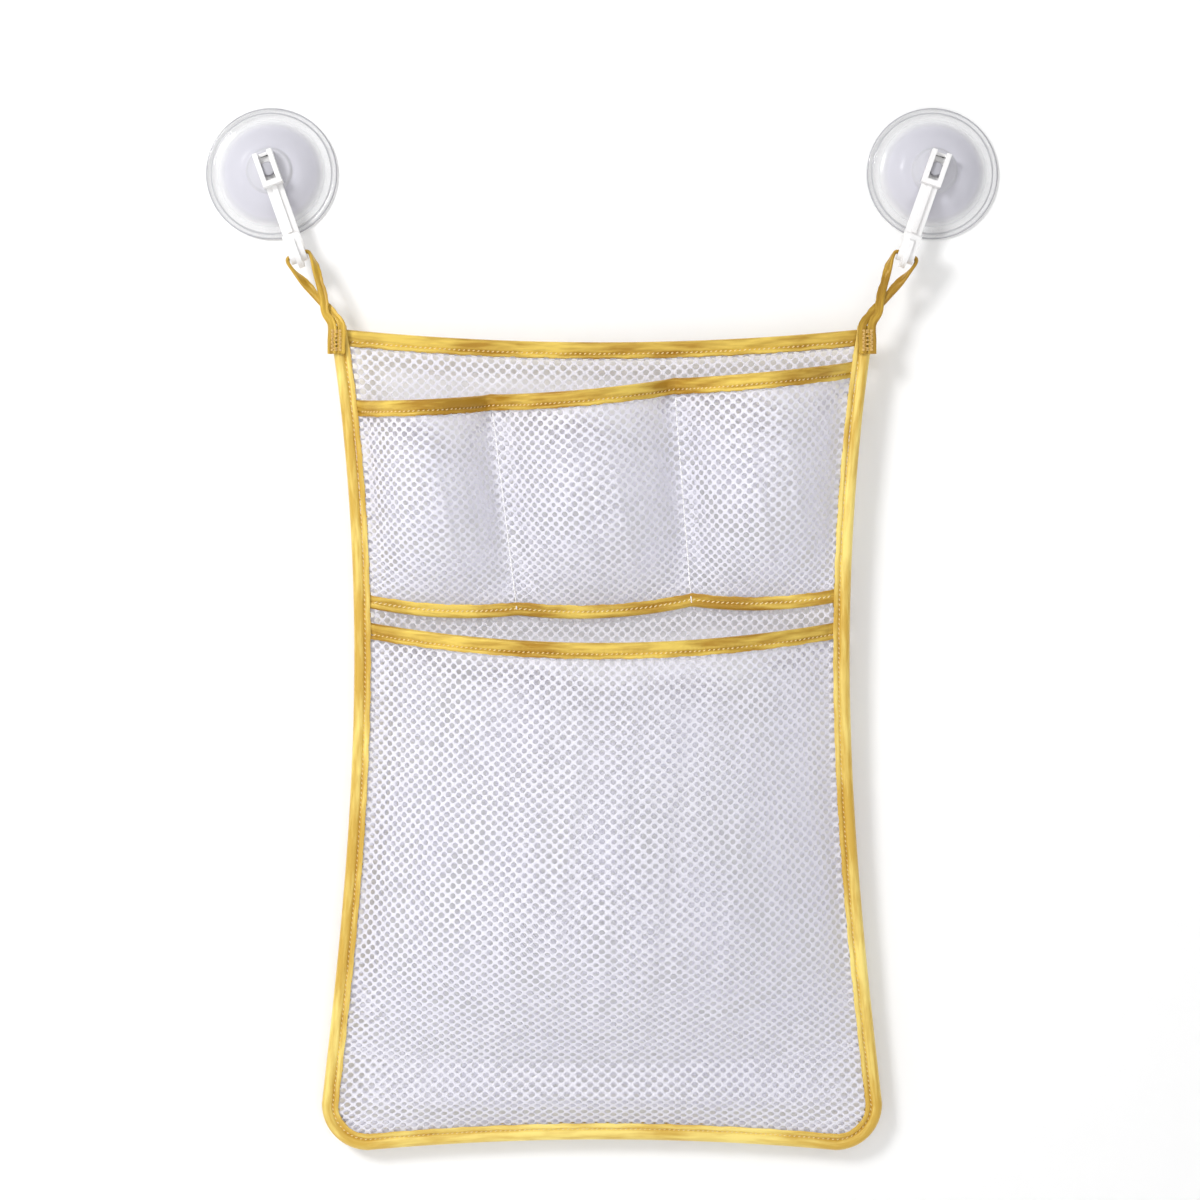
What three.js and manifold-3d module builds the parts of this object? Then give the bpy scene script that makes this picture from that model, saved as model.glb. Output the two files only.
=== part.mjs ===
// Bath toy organizer: a net bag with four pockets, hung by two tape loops from
// hooks that swivel on suction cups.
// Millimetres, +Z up. The wall is the plane y = 0, the bag hangs in front of it
// at negative y, and the origin lies midway between the cups on the wall.
// "Depth" means the distance from the wall, so y = -depth.

import * as THREE from "three";
import Module from "manifold-3d";
import { mergeVertices } from "three/addons/utils/BufferGeometryUtils.js";

// Clearances
const SEWN_GAP = 0.3; // between sewn layers that lie on each other
const TAPE_PLAY = 0.25; // between a folded tape and the net inside it
const KNOB_PLAY = 0.4; // between a cup's knob and the hook that turns on it
const LOOP_PLAY = 1.2; // between a loop and its hook, so that the bag can sway

// Suction cups
const CUP_SPACING = 373;
const CUP_DIAMETER = 74;
const CUP_LIP = 1.2; // thickness at the outer edge
const CUP_LIP_BAND = 3.5; // outer band that lies flat
const CUP_BAND_DEPTH = 1.7; // thickness where the band ends
const CUP_SEAL_WIDTH = 6; // flat ring that presses on the wall
const CUP_DOME_DIAMETER = 54;
const CUP_DOME_STEP = 3.4; // depth of the dome's foot
const CUP_DOME_DEPTH = 11;
const CUP_HOLLOW_DEPTH = 7;
const CUP_BOSS_DIAMETER = 26;
const CUP_BOSS_HEIGHT = 1.6;
const CUP_SIDES = 36;
const NECK_DIAMETER = 6;
const KNOB_DIAMETER = 8;
const KNOB_THICKNESS = 2.8;
const KNOB_ROUND = 0.9;
const HOLLOW_RINGS = [0.3, 0.55, 0.75, 0.9]; // shares of the hollow's radius
const DOME_RINGS = [0.25, 0.5, 0.75]; // shares of the way from the dome's foot to the boss

// Hooks
const HOOK_LEAN = 19.5; // degrees, towards the bag
const HEAD_WIDTH = 11.2;
const HEAD_HEIGHT = 19.6;
const HEAD_SIDE_WALL = 1.2;
const HEAD_END_WALL = 2.4;
const HEAD_PLATE = 2; // front and back plates of the cage
const WINDOW_WIDTH = 5.6;
const WINDOW_HEIGHT = 13.6;
const ARM_WIDTH = 9.5;
const ARM_THICKNESS = 2.2;
const SEAT_DROP = 53.5; // from the knob's axis to the bottom of the trough
const TROUGH_RADIUS = 4.6;
const TIP_HEIGHT = 9; // of the upturned tip above the trough's axis
const RIB_WIDTH = 3;
const ARM_RIB_HEIGHT = 1.5;
const TROUGH_RIB_HEIGHT = 3.2;
const KEEL_START = 207; // degrees round the trough where its rib begins
const KEEL_RUN_IN = 28; // degrees over which that rib rises
const TROUGH_SIDES = 14;

// Bag outline
const BAG_TOP_Z = -89;
const BAG_HEIGHT = 460;
const BAG_TOP_WIDTH = 304;
const BAG_BOTTOM_WIDTH = 320;
const WAIST_DRAW = 17; // how far each side is drawn in at the waist
const WAIST_RISE = 0.85; // below 1 the waist lies above the middle
const TOP_SAG = 8;
const BOTTOM_RISE = 6;
const CORNER_RADIUS = 26;
const HANG_DEPTH_TOP = 19; // back panel's depth at its top
const HANG_DEPTH_BOTTOM = 10; // and at its bottom

// Cloth and tape
const NET_THICKNESS = 0.8;
const POCKET_STAND = 2.2; // from the back panel to a pocket panel where both are sewn
const TAPE_THICKNESS = 0.7;
const EDGE_TAPE_WIDTH = 10;
const TOP_TAPE_WIDTH = 10;
const HEM_TAPE_WIDTH = 9.5;
const HEM_TAPE_THICKNESS = 0.6;
const BASE_TAPE_WIDTH = 7.5;
const THREAD = 0.6;
const STITCH_INSET = 1.8; // from a tape's free edge to its stitches

// Upper pockets: heights below the bag's top corners, read at the two sides
// and at the two divider seams, from left to right
const UPPER_HEM_DROPS = [39, 37, 28, 17];
const UPPER_BASE_DROPS = [147, 153, 148, 144];
const UPPER_HEM_SAG = 4;
const DIVIDER_TOP_X = [-62, 40];
const DIVIDER_BOTTOM_X = [-47, 50];
const DIVIDER_LAND = 4; // flat strip on each side of a divider seam
const HEM_END_LAND = 2.5; // flat stretch of a hem where it meets the side tape
const UPPER_BELLY = 30;
const UPPER_FULLNESS = 1.3; // lower is fuller
const UPPER_MOUTH = 0.8; // share of the belly that the mouth keeps
const UPPER_ROUND = 62; // height over which the belly rounds into the base

// Lower pocket
const LOWER_HEM_DROP = 163;
const LOWER_HEM_SAG = 9;
const LOWER_BELLY = 56;
const LOWER_MOUTH = 0.55; // share of the belly that the mouth keeps
const LOWER_ROUND = 105;

// Hanging loops
const LOOP_TAPE_WIDTH = 4.2;
const LOOP_TAPE_THICKNESS = 2;
const LOOP_SEWN_LENGTH = 15;
const LOOP_TAIL_GAP = 0.5; // between the two sewn tails
const LOOP_TAIL_INSET = 4.5; // from the bag's outer edge to the tails' middle
const LOOP_SHOULDER = 1; // from the arm's edge outwards to where the loop turns down
const LOOP_BOW = 1.2; // how far each strand bows outwards
const LOOP_BOW_AT = 0.62; // share of the strand's way down
const LOOP_TAIL_RISE = 2; // straight end of a strand above the bag
const LOOP_TWIST_AT = 0.2; // share of the loop's length where a strand starts to turn edge on
const LOOP_TWIST = 0.17; // and the share over which it turns
const TACK_LENGTH = 11;
const TACK_WIDTH = 8;

// Steps along curves
const SIDE_STEPS = 22;
const CORNER_STEPS = 8;
const BOTTOM_STEPS = 16;
const POCKET_COLUMNS = 10; // in each upper pocket
const UPPER_ROWS = 9;
const LOWER_COLUMNS = 28;
const LOWER_ROWS = 18;
const LOOP_STEPS = 44;

// Sizes worked out from the driving dimensions
const BAG_BOTTOM_Z = BAG_TOP_Z - BAG_HEIGHT;
const TAPE_FOLD = TAPE_THICKNESS + TAPE_PLAY; // from a tape's fold to the net's edge
const HEM_FOLD = HEM_TAPE_THICKNESS + TAPE_PLAY;
const NECK_TOP = CUP_DOME_DEPTH + CUP_BOSS_HEIGHT + KNOB_PLAY + HEAD_PLATE + KNOB_PLAY;
const HEAD_BACK = CUP_DOME_DEPTH + CUP_BOSS_HEIGHT + KNOB_PLAY;
const HEAD_CAVITY = KNOB_THICKNESS + 2 * KNOB_PLAY;
const HEAD_DEPTH = HEAD_CAVITY + 2 * HEAD_PLATE;
const TROUGH_DEPTH = HEAD_BACK + ARM_THICKNESS + TROUGH_RADIUS;
const LEAN = THREE.MathUtils.degToRad(HOOK_LEAN);

const wasm = await Module();
wasm.setup();

const smooth = (t) => THREE.MathUtils.smoothstep(t, 0, 1);
const at = (x, depth, z) => new THREE.Vector3(x, -depth, z);

// A closed geometry from points and triangles, turned to face outwards.
function closed(points, triangles) {
  const volume = triangles.reduce(
    (sum, [a, b, c]) => sum + points[a].dot(points[b].clone().cross(points[c])),
    0,
  );
  const facing = volume < 0 ? triangles.map(([a, b, c]) => [a, c, b]) : triangles;
  const geometry = new THREE.BufferGeometry().setFromPoints(points);
  geometry.setIndex(facing.flat());
  return geometry;
}

// A section, as [across, up] points, carried along stations {point, across, up}.
function sweep(stations, section) {
  const points = stations.flatMap(({ point, across, up }) =>
    section.map(([u, v]) => point.clone().addScaledVector(across, u).addScaledVector(up, v)),
  );
  const n = section.length;
  const triangles = [];
  for (let i = 0; i + 1 < stations.length; i++) {
    for (let j = 0; j < n; j++) {
      const a = i * n + j;
      const b = i * n + ((j + 1) % n);
      triangles.push([a, b, b + n], [a, b + n, a + n]);
    }
  }
  const cap = THREE.ShapeUtils.triangulateShape(
    section.map(([u, v]) => new THREE.Vector2(u, v)),
    [],
  );
  const last = (stations.length - 1) * n;
  cap.forEach(([a, b, c]) => {
    triangles.push([a, c, b], [last + a, last + b, last + c]);
  });
  return closed(points, triangles);
}

// A thin shell over a grid of middle points, with its thickness along the depth.
function shell(grid, thickness) {
  const rows = grid.length;
  const columns = grid[0].length;
  const count = rows * columns;
  const half = new THREE.Vector3(0, thickness / 2, 0);
  const middle = grid.flat();
  const points = [
    ...middle.map((p) => p.clone().sub(half)),
    ...middle.map((p) => p.clone().add(half)),
  ];
  const triangles = [];
  const quad = (a, b, c, d) => triangles.push([a, b, c], [a, c, d]);
  for (let i = 0; i + 1 < rows; i++) {
    for (let j = 0; j + 1 < columns; j++) {
      const a = i * columns + j;
      quad(a, a + 1, a + columns + 1, a + columns);
      quad(count + a, count + a + columns, count + a + columns + 1, count + a + 1);
    }
  }
  const border = [];
  for (let j = 0; j + 1 < columns; j++) border.push(j);
  for (let i = 0; i + 1 < rows; i++) border.push(i * columns + columns - 1);
  for (let j = columns - 1; j > 0; j--) border.push((rows - 1) * columns + j);
  for (let i = rows - 1; i > 0; i--) border.push(i * columns);
  border.forEach((a, k) => {
    const b = border[(k + 1) % border.length];
    quad(b, a, count + a, count + b);
  });
  return closed(points, triangles);
}

// Boolean work on closed geometries
function solid(geometry) {
  const plain = new THREE.BufferGeometry();
  plain.setAttribute("position", geometry.getAttribute("position"));
  plain.setIndex(geometry.index);
  const merged = mergeVertices(plain, 1e-4);
  return new wasm.Manifold(
    new wasm.Mesh({
      numProp: 3,
      vertProperties: merged.attributes.position.array,
      triVerts: new Uint32Array(merged.index.array),
    }),
  );
}

function geometryOf(manifold) {
  const made = manifold.getMesh();
  const geometry = new THREE.BufferGeometry();
  geometry.setAttribute("position", new THREE.BufferAttribute(made.vertProperties, 3));
  geometry.setIndex(new THREE.BufferAttribute(made.triVerts, 1));
  return geometry;
}

// A block by its middle x and z, its depths and its sizes.
function block(width, height, depthFrom, depthTo, z = 0) {
  const geometry = new THREE.BoxGeometry(width, depthTo - depthFrom, height);
  return geometry.translate(0, -(depthFrom + depthTo) / 2, z);
}

// A side outline, drawn as (depth, z), made as wide as given along X.
function sideProfile(shape, width) {
  const geometry = new THREE.ExtrudeGeometry(shape, {
    depth: width,
    bevelEnabled: false,
    curveSegments: TROUGH_SIDES,
  });
  geometry.translate(0, 0, -width / 2);
  const axes = new THREE.Matrix4().makeBasis(
    new THREE.Vector3(0, -1, 0),
    new THREE.Vector3(0, 0, 1),
    new THREE.Vector3(-1, 0, 0),
  );
  return geometry.applyMatrix4(axes);
}

// Suction cup, turned about the axis of its knob
function suctionCup() {
  const radius = CUP_DIAMETER / 2;
  const seal = radius - CUP_SEAL_WIDTH;
  const dome = CUP_DOME_DIAMETER / 2;
  const boss = CUP_BOSS_DIAMETER / 2;
  const neck = NECK_DIAMETER / 2;
  const knob = KNOB_DIAMETER / 2;
  const bossTop = CUP_DOME_DEPTH + CUP_BOSS_HEIGHT;
  const knobTop = NECK_TOP + KNOB_THICKNESS;
  const profile = [[0, CUP_HOLLOW_DEPTH]];
  HOLLOW_RINGS.forEach((share) => {
    profile.push([seal * share, CUP_HOLLOW_DEPTH * (1 - share * share)]);
  });
  profile.push([seal, 0], [radius, 0], [radius, CUP_LIP]);
  profile.push([radius - CUP_LIP_BAND, CUP_BAND_DEPTH], [dome, CUP_DOME_STEP]);
  DOME_RINGS.forEach((share) => {
    const r = dome + (boss - dome) * share;
    const rise = Math.sin((share * Math.PI) / 2);
    profile.push([r, CUP_DOME_STEP + (CUP_DOME_DEPTH - CUP_DOME_STEP) * rise]);
  });
  profile.push([boss, CUP_DOME_DEPTH], [boss - CUP_BOSS_HEIGHT, bossTop], [neck, bossTop]);
  profile.push([neck, NECK_TOP], [knob, NECK_TOP], [knob, knobTop - KNOB_ROUND]);
  profile.push([knob - KNOB_ROUND, knobTop], [0, knobTop]);
  const lathe = new THREE.LatheGeometry(
    profile.map(([r, depth]) => new THREE.Vector2(r, depth)),
    CUP_SIDES,
  );
  return lathe.rotateX(Math.PI);
}

// Hook, hanging straight down from the knob's axis
function hook() {
  const front = HEAD_BACK + HEAD_DEPTH;
  const cavityBack = HEAD_BACK + HEAD_PLATE;
  const cavityFront = cavityBack + HEAD_CAVITY;
  const cavityWidth = HEAD_WIDTH - 2 * HEAD_SIDE_WALL;
  const cavityHeight = HEAD_HEIGHT - 2 * HEAD_END_WALL;
  const over = 1; // a cut runs this far past the face that it opens
  const hole = new THREE.CylinderGeometry(
    NECK_DIAMETER / 2 + KNOB_PLAY,
    NECK_DIAMETER / 2 + KNOB_PLAY,
    HEAD_PLATE + 2 * over,
    CUP_SIDES,
  );
  hole.translate(0, -(HEAD_BACK + HEAD_PLATE / 2), 0);
  const head = solid(block(HEAD_WIDTH, HEAD_HEIGHT, HEAD_BACK, front))
    .subtract(solid(block(cavityWidth, cavityHeight, cavityBack, cavityFront)))
    .subtract(solid(block(WINDOW_WIDTH, WINDOW_HEIGHT, cavityFront - over, front + over)))
    .subtract(solid(hole));

  const inner = HEAD_BACK + ARM_THICKNESS;
  const axisZ = -SEAT_DROP + TROUGH_RADIUS;
  const armTop = -HEAD_HEIGHT / 2 + HEAD_END_WALL / 2;
  const outerRadius = TROUGH_RADIUS + ARM_THICKNESS;
  const tipZ = axisZ + TIP_HEIGHT;
  const tipRadius = ARM_THICKNESS / 2;
  const tipDepth = TROUGH_DEPTH + TROUGH_RADIUS + tipRadius;
  const curl = new THREE.Shape();
  curl.moveTo(HEAD_BACK, armTop);
  curl.lineTo(HEAD_BACK, axisZ);
  curl.absarc(TROUGH_DEPTH, axisZ, outerRadius, Math.PI, 2 * Math.PI, false);
  curl.lineTo(TROUGH_DEPTH + outerRadius, tipZ - tipRadius);
  curl.absarc(tipDepth, tipZ - tipRadius, tipRadius, 0, Math.PI, false);
  curl.lineTo(TROUGH_DEPTH + TROUGH_RADIUS, axisZ);
  curl.absarc(TROUGH_DEPTH, axisZ, TROUGH_RADIUS, 2 * Math.PI, Math.PI, true);
  curl.lineTo(inner, armTop);
  curl.closePath();

  const sunk = ARM_THICKNESS / 2; // how far a rib reaches into the strip
  const ribStart = THREE.MathUtils.degToRad(KEEL_START);
  const runIn = THREE.MathUtils.degToRad(KEEL_RUN_IN);
  const keel = new THREE.Shape();
  keel.absarc(TROUGH_DEPTH, axisZ, outerRadius - sunk, ribStart, 2 * Math.PI, false);
  keel.lineTo(TROUGH_DEPTH + outerRadius - sunk, tipZ - ARM_THICKNESS);
  keel.lineTo(TROUGH_DEPTH + outerRadius + ARM_RIB_HEIGHT, tipZ - 2 * ARM_THICKNESS);
  const lowest = TROUGH_RIB_HEIGHT - ARM_RIB_HEIGHT;
  for (let k = 0; k <= TROUGH_SIDES; k++) {
    const angle = 2 * Math.PI + (ribStart - 2 * Math.PI) * (k / TROUGH_SIDES);
    const bulge = Math.max(0, -Math.sin(angle));
    const rise = ARM_RIB_HEIGHT * Math.min(1, (angle - ribStart) / runIn);
    const r = outerRadius + rise + lowest * bulge ** 2;
    keel.lineTo(TROUGH_DEPTH + r * Math.cos(angle), axisZ + r * Math.sin(angle));
  }
  keel.closePath();

  const ribBottom = tipZ + ARM_THICKNESS;
  const ribMiddle = (armTop + ribBottom) / 2;
  const ribFront = inner + ARM_RIB_HEIGHT;
  const rib = block(RIB_WIDTH, armTop - ribBottom, inner - sunk, ribFront, ribMiddle);
  return geometryOf(
    head
      .add(solid(sideProfile(curl, ARM_WIDTH)))
      .add(solid(sideProfile(keel, RIB_WIDTH)))
      .add(solid(rib)),
  );
}

// Bag outline. t runs from 0 at the top corners to 1 at the bottom.
const halfWidth = (z) => {
  const t = (BAG_TOP_Z - z) / BAG_HEIGHT;
  const straight = THREE.MathUtils.lerp(BAG_TOP_WIDTH, BAG_BOTTOM_WIDTH, t) / 2;
  return straight - WAIST_DRAW * Math.sin(Math.PI * Math.max(0, t) ** WAIST_RISE);
};
const panelDepth = (z) => {
  const t = (BAG_TOP_Z - z) / BAG_HEIGHT;
  return THREE.MathUtils.lerp(HANG_DEPTH_TOP, HANG_DEPTH_BOTTOM, t);
};
const panelLean = (HANG_DEPTH_TOP - HANG_DEPTH_BOTTOM) / BAG_HEIGHT; // depth gained per height
const upPanel = () => at(0, panelLean, 1).normalize();
const cornerZ = BAG_BOTTOM_Z + CORNER_RADIUS;
const cornerX = halfWidth(cornerZ) - CORNER_RADIUS;
const topEdge = (x) => BAG_TOP_Z - TOP_SAG * (1 - (2 * x / BAG_TOP_WIDTH) ** 2);
const bottomEdge = (x) => BAG_BOTTOM_Z + BOTTOM_RISE * Math.max(0, 1 - (x / cornerX) ** 2);

// Half the bag's width at a height, inside the given inset, corners included.
function reach(z, inset) {
  const radius = CORNER_RADIUS - inset;
  if (z >= cornerZ) return halfWidth(z) - inset;
  const below = Math.min(cornerZ - z, radius);
  return cornerX + Math.sqrt(radius * radius - below * below);
}

// The outline from the top left corner down, along the bottom and up again, as
// {x, z} with its outward normal {nx, nz}.
function outline() {
  const left = [];
  for (let i = 0; i <= SIDE_STEPS; i++) {
    const z = THREE.MathUtils.lerp(BAG_TOP_Z, cornerZ, i / SIDE_STEPS);
    const slope = halfWidth(z + 1) - halfWidth(z);
    const length = Math.hypot(1, slope);
    left.push({ x: -halfWidth(z), z, nx: -1 / length, nz: -slope / length });
  }
  for (let i = 1; i <= CORNER_STEPS; i++) {
    const angle = Math.PI + (Math.PI / 2) * (i / CORNER_STEPS);
    const nx = Math.cos(angle);
    const nz = Math.sin(angle);
    left.push({ x: -cornerX + CORNER_RADIUS * nx, z: cornerZ + CORNER_RADIUS * nz, nx, nz });
  }
  const bottom = [];
  for (let i = 1; i < BOTTOM_STEPS; i++) {
    const x = THREE.MathUtils.lerp(-cornerX, cornerX, i / BOTTOM_STEPS);
    bottom.push({ x, z: bottomEdge(x), nx: 0, nz: -1 });
  }
  const right = left.map(({ x, z, nx, nz }) => ({ x: -x, z, nx: -nx, nz }));
  return [...left, ...bottom, ...right.reverse()];
}

// Piecewise value between stations at the sides and the divider seams, with a
// sag in each stretch.
function between(x, stations, values, sag) {
  let k = 0;
  while (k + 2 < stations.length && x > stations[k + 1]) k++;
  const t = THREE.MathUtils.clamp((x - stations[k]) / (stations[k + 1] - stations[k]), 0, 1);
  return THREE.MathUtils.lerp(values[k], values[k + 1], t) - sag * 4 * t * (1 - t);
}

const upperHemHeights = UPPER_HEM_DROPS.map((drop) => BAG_TOP_Z - drop);
const upperBaseHeights = UPPER_BASE_DROPS.map((drop) => BAG_TOP_Z - drop);
const pocketEdge = TAPE_FOLD; // inset of the panels' edges from the bag's outline
const edgeLand = EDGE_TAPE_WIDTH + SEWN_GAP; // strip along the outline that stays flat
const baseLand = BASE_TAPE_WIDTH + SEWN_GAP; // and along the upper pockets' foot
const sideLand = edgeLand - pocketEdge + HEM_END_LAND; // of a pocket panel at its sides

// Height of a pocket's row: the mouth, the hem tape's lower edge, then rows that
// close up towards the flat strip at the foot, and the foot.
function rowHeight(i, rows, mouth, foot, land) {
  if (i === 0) return mouth;
  if (i === rows) return foot;
  const share = Math.sin((((i - 1) / (rows - 2)) * Math.PI) / 2);
  return THREE.MathUtils.lerp(mouth - HEM_TAPE_WIDTH, foot + land, share);
}

// Place of a column: one at each end of the flat strips, the rest even between.
function columnX(j, columns, from, to, landFrom, landTo) {
  if (j === 0) return from;
  if (j === columns) return to;
  return THREE.MathUtils.lerp(from + landFrom, to - landTo, (j - 1) / (columns - 2));
}

const roundIn = (rise) => Math.sin((THREE.MathUtils.clamp(rise, 0, 1) * Math.PI) / 2);

// A point of the upper pocket strip: pocket 0 to 2, column j and row i of it.
function upperPoint(pocket, j, i) {
  const down = i / UPPER_ROWS;
  const side = halfWidth(upperHemHeights[1]);
  const seams = DIVIDER_TOP_X.map((x, k) => THREE.MathUtils.lerp(x, DIVIDER_BOTTOM_X[k], down));
  const stations = [-side, ...seams, side];
  const roughX = THREE.MathUtils.lerp(stations[pocket], stations[pocket + 1], j / POCKET_COLUMNS);
  const mouth = between(roughX, stations, upperHemHeights, UPPER_HEM_SAG) - HEM_FOLD;
  const foot = between(roughX, stations, upperBaseHeights, 0) - BASE_TAPE_WIDTH;
  const z = rowHeight(i, UPPER_ROWS, mouth, foot, baseLand);
  const edge = reach(z, pocketEdge);
  const from = pocket === 0 ? -edge : seams[pocket - 1];
  const to = pocket === 2 ? edge : seams[pocket];
  const landFrom = pocket === 0 ? sideLand : DIVIDER_LAND;
  const landTo = pocket === 2 ? sideLand : DIVIDER_LAND;
  const x = columnX(j, POCKET_COLUMNS, from, to, landFrom, landTo);
  const across = (x - from - landFrom) / (to - from - landFrom - landTo);
  const bulge = Math.max(0, 4 * across * (1 - across)) ** UPPER_FULLNESS;
  const round = roundIn((z - foot - baseLand) / UPPER_ROUND);
  const open = THREE.MathUtils.lerp(UPPER_MOUTH, 1, smooth(down * 2));
  return at(x, panelDepth(z) + POCKET_STAND + UPPER_BELLY * bulge * round * open, z);
}

// A point of the lower pocket: column j, row i.
function lowerPoint(j, i) {
  const s = (2 * j) / LOWER_COLUMNS - 1;
  const mouth = BAG_TOP_Z - LOWER_HEM_DROP - LOWER_HEM_SAG * (1 - s * s) - HEM_FOLD;
  const foot = bottomEdge(s * cornerX) + pocketEdge;
  const land = edgeLand - pocketEdge;
  const z = rowHeight(i, LOWER_ROWS, mouth, foot, land);
  const edge = reach(z, pocketEdge);
  const x = columnX(j, LOWER_COLUMNS, -edge, edge, sideLand, sideLand);
  const across = x / (edge - sideLand);
  const bulge = Math.max(0, 1 - across * across);
  const corner = Math.hypot(Math.max(0, Math.abs(x) - cornerX), Math.max(0, cornerZ - z));
  const inside = Math.min(z - foot + pocketEdge, CORNER_RADIUS - corner);
  const round = roundIn((Math.max(inside, z - cornerZ) - edgeLand) / LOWER_ROUND);
  const open = THREE.MathUtils.lerp(LOWER_MOUTH, 1, smooth((i / LOWER_ROWS) * 2));
  return at(x, panelDepth(z) + POCKET_STAND + LOWER_BELLY * bulge * round * open, z);
}

const grid = (rows, row) => Array.from({ length: rows + 1 }, (_, i) => row(i));

function upperGrid() {
  return grid(UPPER_ROWS, (i) => {
    const row = [];
    for (let pocket = 0; pocket < 3; pocket++) {
      for (let j = pocket === 0 ? 0 : 1; j <= POCKET_COLUMNS; j++) {
        row.push(upperPoint(pocket, j, i));
      }
    }
    return row;
  });
}

const lowerGrid = () =>
  grid(LOWER_ROWS, (i) => grid(LOWER_COLUMNS, (j) => lowerPoint(j, i)));

// Section of a tape folded over an edge: [across, up], the edge at [0, 0].
function foldedTape(inside, thickness, width) {
  const inner = inside / 2 + TAPE_PLAY;
  const outer = inner + thickness;
  const top = TAPE_PLAY + thickness;
  const chamfer = thickness;
  const foot = top - width;
  return [
    [outer, foot],
    [outer, top - chamfer],
    [outer - chamfer, top],
    [chamfer - outer, top],
    [-outer, top - chamfer],
    [-outer, foot],
    [-inner, foot],
    [-inner, TAPE_PLAY],
    [inner, TAPE_PLAY],
    [inner, foot],
  ];
}

// Section of a stitch row in front of a folded tape.
function stitchSection(inside, thickness, width) {
  const front = inside / 2 + TAPE_PLAY + thickness + SEWN_GAP;
  const foot = TAPE_PLAY + thickness - width + STITCH_INSET;
  return rectangle(front, front + THREAD, foot, foot + THREAD);
}

const rectangle = (u0, u1, v0, v1) => [
  [u0, v0],
  [u1, v0],
  [u1, v1],
  [u0, v1],
];

// Half the space between the side tapes over a tape's height below z.
const insideTapes = (z, width) =>
  Math.min(halfWidth(z), halfWidth(z - width)) - EDGE_TAPE_WIDTH - SEWN_GAP;

// Stations along a panel's top edge, from its first two rows. They end square,
// clear of the side tapes.
function hemStations(edge, below) {
  const stations = edge.slice(1, -1).map((point, k) => {
    const along = edge[k + 2].clone().sub(edge[k]).normalize();
    const up = point.clone().sub(below[k + 1]).normalize();
    return { point: point.clone(), across: along.cross(up).normalize(), up };
  });
  const square = (corner, sign) => ({
    point: corner.clone().setX(sign * insideTapes(corner.z, HEM_TAPE_WIDTH)),
    across: at(0, 1, 0),
    up: upPanel(),
  });
  return [square(edge[0], -1), ...stations, square(edge[edge.length - 1], 1)];
}

// Hanging loop on the left, as stations over the hook's trough and down to the
// bag's corner.
function loopStations() {
  const down = new THREE.Vector3(Math.sin(LEAN), 0, -Math.cos(LEAN));
  const side = new THREE.Vector3(Math.cos(LEAN), 0, Math.sin(LEAN));
  const lift = LOOP_PLAY + LOOP_TAPE_THICKNESS / 2;
  const seat = at(-CUP_SPACING / 2, TROUGH_DEPTH, 0).addScaledVector(down, SEAT_DROP - lift);
  const overArm = ARM_WIDTH / 2 + LOOP_PLAY + LOOP_TAPE_THICKNESS / 2;
  const tailX = -BAG_TOP_WIDTH / 2 + LOOP_TAIL_INSET;
  const tailFront = panelDepth(BAG_TOP_Z) + edgeFront() + SEWN_GAP + LOOP_TAPE_THICKNESS / 2;
  const tailHalf = (LOOP_TAPE_WIDTH + LOOP_TAIL_GAP) / 2;
  const corner = at(tailX, tailFront, BAG_TOP_Z);
  const across = new THREE.Vector3(1, 0, 0);
  const strand = (sign) => {
    const from = seat.clone().addScaledVector(side, sign * overArm);
    const tail = corner.clone().addScaledVector(across, sign * tailHalf);
    const low = from.clone().lerp(tail, LOOP_BOW_AT).addScaledVector(across, sign * LOOP_BOW);
    return [
      seat.clone().addScaledVector(side, sign * (ARM_WIDTH / 2 + LOOP_SHOULDER)),
      from.clone().addScaledVector(down, LOOP_TAPE_THICKNESS),
      low,
      tail.clone().add(new THREE.Vector3(0, 0, LOOP_TAIL_RISE)),
      tail.clone().add(new THREE.Vector3(0, 0, -LOOP_SEWN_LENGTH / 2)),
      tail.clone().add(new THREE.Vector3(0, 0, -LOOP_SEWN_LENGTH)),
    ];
  };
  const route = [...strand(-1).reverse(), ...strand(1)];
  const curve = new THREE.CatmullRomCurve3(route, false, "centripetal");
  const depthAxis = new THREE.Vector3(0, -1, 0);
  const stations = [];
  for (let i = 0; i <= LOOP_STEPS; i++) {
    const t = i / LOOP_STEPS;
    const along = curve.getTangentAt(t);
    const inPlane = depthAxis.clone().cross(along).normalize();
    const upright = along.clone().cross(inPlane).normalize();
    const fromEnd = Math.min(t, 1 - t);
    const twist = 1 - smooth((fromEnd - LOOP_TWIST_AT) / LOOP_TWIST);
    const turn = (Math.PI / 2) * twist * (t < 0.5 ? 1 : -1);
    const wide = upright.clone().multiplyScalar(Math.cos(turn));
    wide.addScaledVector(inPlane, Math.sin(turn)).normalize();
    stations.push({ point: curve.getPointAt(t), across: wide, up: along.clone().cross(wide) });
  }
  return stations;
}

// Depth of the edge tape's front face over the back panel's middle.
function edgeFront() {
  const inside = NET_THICKNESS + POCKET_STAND;
  return POCKET_STAND / 2 + inside / 2 + TAPE_PLAY + TAPE_THICKNESS;
}

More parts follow.
